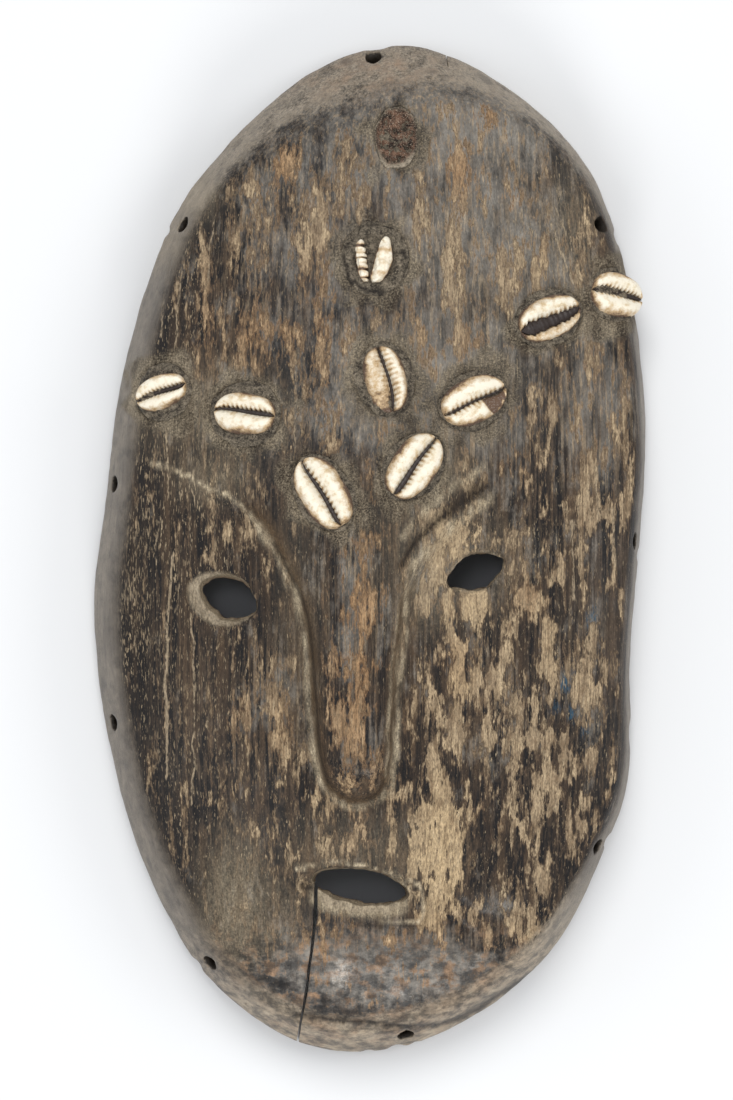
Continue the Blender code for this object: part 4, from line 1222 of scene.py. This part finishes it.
def chin_rust_and_painted_highlights(s, colour):
    """Rust-brown clouds on the chin, and small painted highlights. Also returns where they are."""
    clouds = s.span(s.weighted((s.blot, 0.3), (s.smudge, 0.7)), 0.50, 0.70, 0.0, 0.75)
    rust = s.mix((0.085, 0.050, 0.028), (0.260, 0.150, 0.078), s.hue)
    colour = s.mix(colour, rust, s.times(s.field("chin"), clouds))
    uneven = s.span(s.weighted((s.smudge, 0.5), (s.grit, 0.5)), 0.35, 0.75, 0.10, 1.0)
    glossy_painted_highlight = s.times(s.field("gloss_and_painted_highlight"), uneven)
    # painted highlights: whitish grey on the shiny spots
    return s.mix(colour, (0.480, 0.465, 0.440), s.times(glossy_painted_highlight, 0.80)), glossy_painted_highlight


def border_tone(s):
    """The handled border, with ruddy and dark blotches: lighter at the ends than at the sides, most at the
    top end, and lighter towards the outer edge, partly the handled wood's tone and partly painted light.
    """
    mottle = s.weighted((s.rubbed, 0.60), (s.lines, 0.40))
    outer = s.span(s.plus(s.field("outer"), s.span(s.rubbed, 0, 1, -0.2, 0.2)), 0.0, 1.0)
    # painted light, in part: lighter towards the outer edge and at the ends, most at the top end
    inner_side = s.mix((0.020, 0.016, 0.013), (0.130, 0.104, 0.078), mottle)
    outer_side_painted_light = s.mix((0.070, 0.057, 0.044), (0.275, 0.232, 0.180), mottle)
    ends_high_painted_light = s.mix((0.455, 0.388, 0.300), (0.380, 0.316, 0.236), s.field("chin"))
    ends = s.mix((0.122, 0.096, 0.068), ends_high_painted_light, mottle)
    border = s.mix(s.mix(inner_side, outer_side_painted_light, outer), ends, s.field("ends"))
    ruddy = s.times(s.field("ruddy"), s.span(s.cloud, 0.30, 0.85, 0, 0.75))
    border = s.mix(border, (0.300, 0.165, 0.088), ruddy)
    return s.mix(border, (0.038, 0.031, 0.026), s.span(s.times(s.cloud, s.rubbed), 0.25, 0.60, 0.0, 0.66))


def bordered(s, colour):
    """The face within its border, with an uneven limit between them."""
    uneven = s.plus(s.span(s.fleck, 0, 1, -0.22, 0.22), s.span(s.cloud, 0, 1, -0.22, 0.22))
    margin = s.plus(s.field("rim"), uneven)
    return s.mix(colour, border_tone(s), s.span(margin, 0.15, 0.90, soft=True))


def soiled(s, colour):
    """Grime round the resin, dust in the hollows, pale worn lips partly as painted light, and painted shade
    along the grooves. Also returns the dust.
    """
    soil = s.weighted((s.grit, 0.55), (s.cloud, 0.45))
    grime = s.mix((0.040, 0.031, 0.023), (0.350, 0.293, 0.210), s.span(soil, 0.28, 0.82))
    thick = s.span(s.plus(s.grit, s.lines), 0.3, 1.3, 0.35, 1.0)
    colour = s.mix(colour, grime, s.times(s.field("grime"), thick))
    loose = s.span(s.weighted((s.grit, 0.5), (s.ticks, 0.5)), 0.2, 0.7, 0.30, 1.0)
    dust = s.math("MINIMUM", s.times(s.field("dust"), loose), 1.0)
    colour = s.mix(colour, s.mix((0.300, 0.240, 0.158), (0.560, 0.475, 0.340), s.hue), dust)
    worn_and_lit_lip_share = s.span(s.plus(s.field("lip_wear_and_painted_light"), s.span(s.fibre, 0, 1, -0.15, 0.15)), 0.15, 0.6)
    lip_tone = s.mix((0.150, 0.118, 0.080), (0.440, 0.370, 0.270), s.weighted((s.grit, 0.4), (s.blot, 0.6)))
    # pale worn lips, partly painted light on their lit bevels
    colour = s.mix(colour, lip_tone, s.times(worn_and_lit_lip_share, 0.85))
    # painted shade: near black along the grooves
    groove_painted_shade = s.times(s.field("groove_painted_shade"), s.span(s.fleck, 0.0, 1.0, 1.0, 0.72))
    return s.mix(colour, (0.014, 0.009, 0.006), groove_painted_shade), dust


def shaded(s, colour):
    """Cloudy light and dark over the chin, and fine grit over all but the handled parts."""
    cloudy = s.noise((4.2, 3.0, 4.2), 5.0, 0.68, 0.11, 21.0)
    cloudy = s.mix((0.34, 0.35, 0.37), (1.52, 1.50, 1.46), cloudy)
    colour = s.mix(colour, cloudy, s.times(s.field("chin"), 0.85), "MULTIPLY")
    crisp = s.noise((0.45, 1.05, 0.45), 2.0, 0.6, 0.24, 15.0)
    shade = s.mix((0.60, 0.60, 0.60), (1.42, 1.40, 1.36), crisp)
    held = s.math("MAXIMUM", s.field("rim"), s.times(s.field("chin"), 0.8))
    calm = s.span(s.field("haze"), 0.3, 0.9, 1.0, 0.6)
    return s.mix(colour, shade, s.times(s.span(held, 0, 1, 0.95, 0.25), calm), "MULTIPLY")


def walls_and_back(s, colour):
    """The front with the cut walls of its openings, near black inside the cord holes as painted shade, and
    the plain back.
    """
    wall = s.mix((0.070, 0.050, 0.033), (0.480, 0.390, 0.268), s.weighted((s.grit, 0.4), (s.fibre, 0.5)))
    # painted shade: near black on the walls inside the cord holes
    wall = s.mix(wall, (0.010, 0.007, 0.005), s.times(s.field("hole"), 0.97))
    plain = s.mix((0.150, 0.105, 0.068), (0.240, 0.172, 0.112), s.streak)
    plain = s.mix(plain, (0.065, 0.045, 0.030), s.span(s.fibre, 0.55, 1.0, 0.0, 0.7))
    return s.mix(s.mix(wall, colour, s.field("front")), plain, s.field("behind"))


def grey(level):
    return (level, level, level)


def wood_material():
    s = WoodShader("worn_black_wood")
    dark, polish = patina(s)
    colour, worn = worn_through(s, dark, bare_wood(s))
    colour, spots, scratch = ticked(s, colour)
    colour, glossy_painted_highlight = chin_rust_and_painted_highlights(s, darken_step_walls_patina_and_shade(s, colour))
    colour, dust = soiled(s, bordered(s, colour))
    colour = walls_and_back(s, shaded(s, colour))

    rough = s.mix(grey(0.62), grey(0.90), worn)
    rough = s.mix(rough, grey(0.30), s.math("MAXIMUM", polish, glossy_painted_highlight))
    rough = s.mix(rough, grey(0.44), s.field("rim"))
    rough = s.mix(rough, grey(0.92), s.math("MAXIMUM", dust, s.field("grime")))
    height = s.weighted((s.fibre, -0.45), (worn, -0.8))
    height = s.plus(height, s.weighted((spots, -0.6), (scratch, -0.6)))
    height = s.plus(height, s.times(s.grit, s.span(s.field("grime"), 0, 1, 0.30, 1.2)))
    smoothed = s.math("MAXIMUM", s.field("rim"), s.field("chin"))
    height = s.times(height, s.span(smoothed, 0.2, 0.9, 1.0, 0.25))
    return s.finish(colour, rough, s.bump(height, 0.00034), 0.25)


# How each shell looks: its slit's place and bow as shares, the slit's half-width in mm at either end,
# the teeth on each lip, how stained it is and what is broken off
Look = namedtuple("Look", "slit_at bow slit_wide slit_end teeth_near teeth_far stain breakage")
LOOKS = {
    "left_temple": Look(-0.10, 0.10, 0.30, 0.80, 0.5, 0.9, 0.35, None),
    "left_brow": Look(0.08, 0.06, 0.35, 0.80, 0.3, 1.0, 0.55, None),
    "nose_root_left": Look(0.14, -0.05, 0.75, 0.35, 0.9, 0.4, 0.50, None),
    "forehead": Look(-0.02, -0.12, 0.50, 0.35, 0.7, 0.7, 0.85, "covered"),
    "nose_root_right": Look(-0.05, 0.04, 0.95, 0.30, 0.9, 0.5, 0.45, None),
    "right_brow": Look(-0.12, 0.04, 0.32, 0.30, 0.9, 0.8, 0.65, "near_end"),
    "right_temple": Look(-0.22, 0.02, 2.20, 1.20, 0.9, 0.9, 0.50, "near_thin"),
    "right_edge": Look(0.02, 0.10, 0.60, 0.75, 0.7, 1.1, 0.55, None),
    "upper_forehead": Look(0.12, 0.0, 0.85, 0.85, 0.5, 1.3, 0.75, "slivers"),
}
SHELL_SECTIONS = 90
LIP_POINTS = 20
TEETH = 13
SLIT_FLOOR = 0.0018
TOOTH_RELIEF = 0.00016
NARROWEST_SLIT = 0.00012

# The two fragments left of the upper shell, in mm on its frame: place along it, and its two sides
SLIVER_RIGHT = (
    (-7.4, -1.4, 1.0), (-6.6, -2.6, 1.5), (-4.8, -3.9, 1.4), (-2.4, -4.9, 0.9), (0.3, -5.5, -0.2),
    (3.4, -5.3, -0.9), (5.4, -4.8, -1.6), (6.5, -4.0, -2.4),
)
SLIVER_LEFT = (
    (-7.2, 2.0, 3.4), (-6.0, 1.8, 4.4), (-4.6, 1.8, 5.0), (-2.2, 2.2, 5.7), (0.3, 2.5, 6.0), (2.8, 2.8, 6.0),
    (4.8, 3.2, 5.6), (5.6, 3.8, 5.0),
)
SLIVER_TOOTH = 0.0019
BED_SIDES = 120
BED_LEVELS = 26


def seat(setting):
    """Frame of a shell on the wood: X along the shell, Z out of the face, origin on the surface."""
    point = place((setting.u, setting.v))
    step = setting.width / 2
    x, y = point
    west, east, south, north = Survey([(x - step, y), (x + step, y), (x, y - step), (x, y + step)]).face()
    normal = Vector((west - east, south - north, 2 * step)).normalized()
    lean = normal.angle(Vector((0, 0, 1)))
    if lean > MAX_LEAN:
        normal = Vector((0, 0, 1)).slerp(normal, MAX_LEAN / lean)
    turn = math.radians(setting.turn)
    along = Vector((math.cos(turn), math.sin(turn), 0))
    along = (along - normal * along.dot(normal)).normalized()
    origin = Vector((*point, float(Survey(point).face()[0]))) - normal * setting.sink
    axes = Matrix((along, normal.cross(along), normal)).transposed().to_4x4()
    return Matrix.Translation(origin) @ axes


def shell_lip(side, y_out, y_slit, top, teeth, wave, reach):
    """One lip's profile from its outer foot over the top and down into the slit: y, z and how far in."""
    q = np.linspace(0, 1, LIP_POINTS)
    over = np.clip(q / 0.82, 0, 1)
    angle = math.pi * (1 - over * 0.90)
    middle, half = (y_out + y_slit) / 2, (y_slit - y_out) / 2
    y = middle + half * np.cos(angle)
    z = -SHELL_SEAT + (top + SHELL_SEAT) * np.sin(np.clip(angle, 0, math.pi)) ** 0.72
    inner = smooth((over - reach) / 0.30)
    z = z + teeth * wave * inner
    y = y + side * teeth * wave * inner * 0.8
    down = np.clip((q - 0.82) / 0.18, 0, 1)
    z = z + (SLIT_FLOOR - z) * down
    y = y + (y_slit + side * 0.0001 - y) * down
    return y, z, inner, down


def sliver_solid(sections, tooth, seed):
    """One thin fragment of a broken shell along its length, with teeth on its inner side if it has any."""
    rows = np.array(sections) * MM
    along = np.linspace(rows[0, 0], rows[-1, 0], SHELL_SECTIONS)
    low, high = (np.interp(along, rows[:, 0], rows[:, k]) for k in (1, 2))
    angle = np.linspace(math.pi, 0, 2 * LIP_POINTS)
    widest = (high - low).max()
    rings, stain = [], []
    for x, a, b in zip(along, low, high):
        gap = 0.5 + 0.5 * math.cos(2 * math.pi * (x / tooth + 0.2 * math.sin(x * 770))) if tooth else 0.0
        gap = gap**3 * (0.60 + 0.40 * math.sin(x * 1900 + 1))
        a = a + 0.36 * gap * (b - a)
        top = SHELL_RISE * 0.82 * ((b - a) / widest) ** 0.25
        y = (a + b) / 2 - (b - a) / 2 * np.cos(angle)
        z = -SHELL_SEAT + (top + SHELL_SEAT) * np.sin(angle) ** 0.55
        rings.append(np.column_stack([np.full(len(y), x), y, z]))
        blemish = 0.35 * math.sin(x * 1300 + seed) * math.sin(x * 430)
        stain.append(np.maximum(0.95 * smooth((0.58 - np.sin(angle)) / 0.40), 0.80 * gap) + max(blemish, 0))
    points, faces = loft(rings)
    lumps = layered(points + seed, (0.0016, 0.0016, 0.0016), 2, seed) - 0.5
    points = points + np.column_stack([lumps * 0, lumps * 0.0004, lumps * 0.0007 * (points[:, 2] > 0)])
    return (points, faces), np.concatenate(stain)


def broken_shell(seed):
    """What is left of the upper shell: a white fragment and a toothed strip."""
    right, right_stain = sliver_solid(SLIVER_RIGHT, 0.0, seed)
    left, left_stain = sliver_solid(SLIVER_LEFT, SLIVER_TOOTH, seed + 4)
    stain = np.concatenate([right_stain, left_stain])
    return joined([right, left]), stain, np.zeros(len(stain))


Section = namedtuple("Section", "half open_half centre wave near_top far_top lost tatter")


def shell_section(setting, look, seed, s):
    """A shell's size, slit and breaks at a place along it, from -1 to 1."""
    bulge = 1 + 0.035 * math.sin(3.0 * s + seed) + 0.02 * math.sin(7 * s + 2 * seed)
    half = setting.width / 2 * (1 - abs(s) ** SHELL_FULLNESS) ** (1 / SHELL_FULLNESS) * min(bulge, 1.0)
    slit_half = (look.slit_wide + (look.slit_end - look.slit_wide) * (s + 1) / 2) * MM
    open_half = min(max(slit_half * (1 - abs(s) ** 6), NARROWEST_SLIT), half * 0.5)
    centre = half * (look.slit_at + look.bow * (1 - s * s) + 0.05 * math.sin(2.4 * s + seed))
    wave = math.cos(math.pi * TEETH * s) * (1 - s**6)
    far_top = SHELL_RISE * (1 - 0.50 * abs(s) ** 3)
    near_top = far_top * (1 - 0.06 * math.sin(2 * s + seed))
    lost, tatter = 0.0, 0.0
    if look.breakage == "near_end":
        tatter = 0.08 * math.sin(11 * s) + 0.05 * math.sin(27 * s)
        lost = float(smooth((s - 0.10) / 0.22) * smooth((0.95 - s) / 0.12))
        near_top = near_top * (1 - (0.30 + 0.5 * tatter) * lost)
    elif look.breakage == "near_thin":
        jag = 0.05 * math.sin(17 * s) + 0.04 * math.sin(37 * s + 1)
        near_top = near_top * (0.84 - 0.12 * float(smooth((0.1 - s) / 0.3)) + jag)
        open_half = open_half * (1 + 2.4 * jag)
    elif look.breakage == "covered":
        far_top = far_top * (1 - 0.55 * float(smooth((-0.25 - s) / 0.25)))
    return Section(half, open_half, centre, wave, near_top, far_top, lost, tatter)


def end_stain(look, s):
    """Stain at a shell's two ends, and on the lip that is covered or worn thin."""
    ends = 0.5 * float(smooth((abs(s) - 0.80) / 0.18))
    near, far = 0.0, 0.0
    if look.breakage == "covered":
        far = 0.22 + 0.30 * float(smooth((-0.1 - s) / 0.5))
    elif look.breakage == "near_thin":
        near = 0.35
    return ends + np.repeat((near, far), LIP_POINTS)


def shell_stain(look, seed, s, section, near_in, far_in):
    """Stain round a shell's section: between its teeth, at its foot and ends, and where it is broken."""
    near_gap = near_in * (1 - section.wave) / 2 * min(look.teeth_near, 1)
    far_gap = far_in * (1 - section.wave) / 2 * min(look.teeth_far, 1)
    gap = np.concatenate([near_gap, far_gap[::-1]]) * (0.60 if look.breakage == "covered" else 0.75)
    fading = np.linspace(1.5, -2, LIP_POINTS)
    foot = np.concatenate([fading, fading[::-1]]) * (0.75 + 0.25 * math.sin(5.3 * s + 2 * seed))
    broken = np.zeros(2 * LIP_POINTS)
    if look.breakage == "near_end":
        inward = np.linspace(0, 1, LIP_POINTS)
        edge_in = 0.10 + 0.5 * (1 - section.lost) + 1.2 * section.tatter
        torn = smooth((0.86 - inward) / 0.1) * smooth((inward - edge_in) / 0.25)
        broken[:LIP_POINTS] = section.lost * torn
    marked = np.maximum(np.maximum(gap, np.clip(foot, 0, 1) * 0.9), end_stain(look, s))
    return np.maximum(marked, 1.15 * broken)


def shell_solid(setting, look, seed):
    """A cowrie, slit side up, with its lips, teeth, stains and breaks."""
    if look.breakage == "slivers":
        return broken_shell(seed)
    reach = 0.42 if look.breakage == "covered" else 0.66
    rings, stain, slit = [], [], []
    for s in np.cos(np.linspace(math.acos(-0.985), math.acos(0.985), SHELL_SECTIONS)):
        section = shell_section(setting, look, seed, s)
        half, open_half, centre, wave = section[:4]
        near_teeth = look.teeth_near * (1 - section.lost) * TOOTH_RELIEF
        far_teeth = look.teeth_far * TOOTH_RELIEF
        near = shell_lip(1, -half, centre - open_half, section.near_top, near_teeth, wave, reach)
        far = shell_lip(-1, half, centre + open_half, section.far_top, far_teeth, wave, reach)
        y, z = (np.concatenate([near[k], far[k][::-1]]) for k in (0, 1))
        rings.append(np.column_stack([np.full(len(y), s * setting.length / 2), y, z])[::-1])
        stain.append(shell_stain(look, seed, s, section, near[2], far[2])[::-1])
        slit.append(np.concatenate([near[3], far[3][::-1]])[::-1])
    points, faces = loft(rings)
    bumps = layered(points + seed, (0.0022, 0.0022, 0.0022), 2, seed) - 0.5
    points = points + np.column_stack([bumps * 0, bumps * 0, bumps * 0.00022 * (points[:, 2] > 0)])
    return (points, faces), np.concatenate(stain), np.concatenate(slit)


def shell_material():
    s = Shader("old_cowrie")
    cloud = s.noise((2.2, 2.2, 2.2), 4.0, 0.6, 0.20)
    speck = s.noise((0.50, 0.50, 0.50), 3.0, 0.65, 0.20, 4.4)
    cream = s.mix((0.800, 0.740, 0.610), (0.640, 0.530, 0.350), s.span(cloud, 0.45, 1.0))
    mark = s.plus(s.field("stain"), s.plus(s.times(cloud, 0.42), s.times(speck, 0.20)))
    mark = s.plus(mark, s.times(s.field("stained"), 0.25))
    colour = s.mix(cream, (0.46, 0.30, 0.14), s.span(mark, 0.52, 0.92, 0.0, 0.85))
    colour = s.mix(colour, (0.080, 0.040, 0.022), s.span(mark, 0.90, 1.20, 0.0, 0.95))
    gritty = s.times(s.span(speck, 0.55, 0.80), s.span(mark, 1.10, 1.30))
    colour = s.mix(colour, (0.190, 0.145, 0.120), gritty)
    # painted shade: near black in the shell's slit
    colour = s.mix(colour, (0.020, 0.012, 0.010), s.span(s.field("slit"), 0.15, 0.6, soft=True))
    rough = s.mix(grey(0.28), grey(0.75), s.span(mark, 0.5, 1.0))
    return s.finish(colour, rough, s.bump(s.plus(speck, cloud), 0.00008), 0.5)


def bed_rings(setting, seed):
    """Points of a resin bed's top in its own plane, from its edge in, and the share of each one's ring."""
    angle = 2 * math.pi * np.arange(BED_SIDES) / BED_SIDES
    ring_walk = np.column_stack([np.cos(angle), np.sin(angle)])
    ragged = 1 + 0.10 * (layered(ring_walk, (0.5, 0.5), 3, seed) - 0.6)
    outer = superellipse(setting.bed_length / 2, setting.bed_width / 2, 2, BED_SIDES) * ragged[:, None]
    shares = np.linspace(1.0, 0.03, BED_LEVELS)
    flat = np.vstack([outer * share for share in shares])
    return np.column_stack([flat, np.zeros(len(flat))]), np.repeat(shares, BED_SIDES)


def settled(world, normal):
    """How far each point has to move along the normal to lie on the wood."""
    lift = np.zeros(len(world))
    for _ in range(5):
        at = world + lift[:, None] * normal
        lift = np.clip(lift - (at[:, 2] - Survey(at[:, :2]).face()) * normal[2], -0.0035, 0.0012)
    return lift


def bed_crack(share, lumps, swelling):
    """1 along the crack round the broken shell."""
    ring = np.exp(-(((share - 0.90 - 0.22 * swelling) / 0.045) ** 2))
    return ring * smooth((lumps + 0.42) / 0.4)


def bed_rise(setting, share, lumps, swelling):
    """How high the resin stands over the wood: a low mound, or a pit where the shell is lost."""
    mound = BED_RISE * (0.95 * smooth((1 - share) / 0.35) - 0.10)
    if setting.kept == 0:
        pit = smooth((0.94 - share) / 0.22)
        return BED_RISE * (0.4 * smooth((1 - share) / 0.10) - 2.1 * pit) + pit * 0.0012 * lumps
    if setting.kept < 1:
        hollow = smooth((0.62 - share) / 0.12)
        crack = bed_crack(share, lumps, swelling)
        return mound * (1 - 0.9 * hollow) - 0.0006 * crack - 0.0004 * hollow
    return mound


def bed_marks(setting, seed, local, share, lumps, swelling):
    """Dark cracks in the resin round the broken shell, painted shade in a broken ring round each whole
    shell's foot, and the rusty pit with its pale lip where the shell is lost.
    """
    marks = {name: np.zeros(len(share)) for name in ("dark", "pit", "pale_lip")}
    if setting.kept == 0:
        angle = 2 * math.pi * np.arange(BED_SIDES) / BED_SIDES
        low = smooth((-0.35 - np.cos(np.tile(angle, BED_LEVELS))) / 0.4)
        marks["pit"] = smooth((0.97 - share) / 0.15)
        marks["pale_lip"] = low * np.exp(-(((share - 0.88) / 0.12) ** 2))
    elif setting.kept < 1:
        marks["dark"] = bed_crack(share, lumps, swelling)
    else:
        # painted shade: a broken dark ring round the whole shell's foot
        broken_ring = smooth((layered(local, (0.0030, 0.0030, 0.0030), 2, seed + 7) - 0.35) / 0.3)
        ring = np.exp(-(((share - 0.86 - 0.30 * swelling) / 0.045) ** 2))
        marks["dark"] = 0.7 * broken_ring * ring
    return {name: np.concatenate([np.zeros(BED_SIDES), values]) for name, values in marks.items()}


def bed_surface(setting, seed):
    """Resin round a shell, following the wood, with a gritty top and an uneven edge."""
    matrix = seat(setting)
    local, share = bed_rings(setting, seed)
    world = moved(local, matrix)
    normal = np.array(matrix)[:3, 2]
    lift = settled(world, normal)
    lumps = layered(local, (0.0013, 0.0013, 0.0013), 3, seed) - 0.5
    swelling = layered(local, (0.005, 0.005, 0.005), 2, seed + 3) - 0.5
    rise = bed_rise(setting, share, lumps, swelling)
    height = lift + rise + 0.00065 * lumps + 0.0006 * swelling * smooth((1 - share) / 0.3)
    height[:BED_SIDES] = lift[:BED_SIDES] - 0.0012
    top = world + height[:, None] * normal
    base = world[:BED_SIDES] + (lift[:BED_SIDES, None] - 0.0020) * normal
    solid = loft([base, *np.split(top, BED_LEVELS)])
    return solid, bed_marks(setting, seed, local, share, lumps, swelling)


def resin_material():
    s = Shader("gritty_resin")
    grain = s.noise((0.72, 0.72, 0.72), 4.0, 0.75, 0.20)
    lump = s.noise((2.4, 2.4, 2.4), 4.0, 0.6, 0.20, 2.0)
    sand = s.noise((0.36, 0.36, 0.36), 2.0, 0.5, 0.22, 6.0)
    soil = s.weighted((grain, 0.55), (lump, 0.45))
    colour = s.mix((0.036, 0.029, 0.022), (0.320, 0.268, 0.196), s.span(soil, 0.28, 0.84))
    colour = s.mix(colour, (0.45, 0.38, 0.28), s.span(sand, 0.76, 0.95, 0.0, 0.7))
    colour = s.mix(colour, (0.020, 0.015, 0.012), s.span(sand, 0.22, 0.04, 0.0, 0.8))
    # near black along the cracks round the broken shell, and painted shade round the whole shells' feet
    colour = s.mix(colour, (0.014, 0.011, 0.010), s.times(s.field("dark"), 0.85))
    rusty = s.span(s.weighted((lump, 0.6), (grain, 0.4)), 0.32, 0.68)
    rust = s.mix((0.016, 0.010, 0.009), (0.215, 0.120, 0.078), rusty)
    rust = s.mix(rust, (0.50, 0.41, 0.31), s.span(sand, 0.62, 0.85, 0.0, 0.8))
    colour = s.mix(colour, rust, s.field("pit"))
    pale_lip = s.times(s.field("pale_lip"), s.span(grain, 0.2, 0.7, 0.3, 0.95))
    colour = s.mix(colour, (0.48, 0.41, 0.31), pale_lip)
    height = s.weighted((grain, 0.8), (sand, 0.5))
    return s.finish(colour, 0.82, s.bump(height, 0.00045), 0.3)


def build_settings():
    resin, shell = resin_material(), shell_material()
    for k, setting in enumerate(SETTINGS):
        solid, marks = bed_surface(setting, 100 + k)
        mesh = mesh_of("resin_bed_" + setting.name, solid)
        for name, values in marks.items():
            set_attribute(mesh, name, values)
        piece_of("resin_bed_" + setting.name, mesh, resin, "resin", "resin_" + setting.name)
        if setting.kept == 0:
            continue
        look = LOOKS[setting.name]
        solid, stain, slit = shell_solid(setting, look, 3 + k)
        solid = (moved(solid[0], seat(setting)), solid[1])
        mesh = mesh_of("shell_" + setting.name, solid)
        set_attribute(mesh, "stain", stain)
        set_attribute(mesh, "stained", np.full(len(stain), look.stain))
        set_attribute(mesh, "slit", slit)
        piece_of("shell_" + setting.name, mesh, shell, "cowrie", "cowrie_" + setting.name)


# The photograph's frame: its size and the mask's place in it, in pixels
PHOTO_WIDTH, PHOTO_HEIGHT = 733, 1100
MASK_LEFT, MASK_RIGHT, MASK_TOP, MASK_FOOT = 93, 647, 45, 1052
CAMERA_HEIGHT = 2.4
FLOOR_HALF = 3.0
FLOOR_HEIGHT = -0.1 * MM


def build_camera():
    """Straight above the mask, with the top of the head up in the picture."""
    metres_per_pixel = MASK_LENGTH / (MASK_FOOT - MASK_TOP)
    aside = ((MASK_LEFT + MASK_RIGHT) / 2 - PHOTO_WIDTH / 2) * metres_per_pixel
    above = ((MASK_TOP + MASK_FOOT) / 2 - PHOTO_HEIGHT / 2) * metres_per_pixel
    data = bpy.data.cameras.new("camera")
    camera = bpy.data.objects.new("camera", data)
    bpy.context.scene.collection.objects.link(camera)
    camera.location = (-aside, above, CAMERA_HEIGHT)
    data.sensor_width = 36.0
    data.lens = data.sensor_width * (CAMERA_HEIGHT - EDGE_HEIGHT) / (PHOTO_HEIGHT * metres_per_pixel)
    data.clip_end = 20.0
    bpy.context.scene.camera = camera


def add_light(name, place_at, size, power, colour):
    data = bpy.data.lights.new(name, "AREA")
    data.shape = "DISK"
    data.size = size
    data.energy = power
    data.color = colour
    light = bpy.data.objects.new(name, data)
    bpy.context.scene.collection.objects.link(light)
    light.location = place_at
    light.rotation_euler = (-Vector(place_at)).to_track_quat("-Z", "Y").to_euler()


def build_light():
    scene = bpy.context.scene
    scene.view_settings.view_transform = "Standard"
    world = bpy.data.worlds.new("studio")
    scene.world = world
    world.use_nodes = True
    world.node_tree.nodes["Background"].inputs["Color"].default_value = (0.96, 0.975, 1.0, 1.0)
    world.node_tree.nodes["Background"].inputs["Strength"].default_value = 0.58
    add_light("key", (-0.10, 1.20, 1.90), 1.1, 26.0, (1.0, 0.985, 0.955))
    add_light("right", (1.30, 0.30, 1.30), 0.8, 6.0, (1.0, 0.985, 0.96))
    add_light("below", (0.05, -1.35, 0.95), 0.6, 11.0, (1.0, 0.985, 0.96))
    add_light("left", (-1.30, 0.10, 0.80), 0.7, 3.0, (0.97, 0.98, 1.0))
    add_light("overhead", (-0.20, 0.22, 2.20), 0.35, 1.6, (0.93, 0.93, 1.0))


def build_floor():
    corners = [(-FLOOR_HALF, -FLOOR_HALF), (FLOOR_HALF, -FLOOR_HALF), (FLOOR_HALF, FLOOR_HALF),
               (-FLOOR_HALF, FLOOR_HALF)]
    mesh = mesh_of("floor", ([(*corner, FLOOR_HEIGHT) for corner in corners], [(0, 1, 2, 3)]))
    s = Shader("white_floor")
    tone = s.noise((900.0, 900.0, 900.0), 1.0)
    colour = s.mix((0.706, 0.720, 0.738), (0.716, 0.730, 0.748), tone)
    mesh.materials.append(s.finish(colour, 0.8, s.bump(tone, 0.0001), 0.2))
    floor = bpy.data.objects.new("floor", mesh)
    bpy.context.scene.collection.objects.link(floor)


build_wood()
build_settings()
build_floor()
build_light()
build_camera()
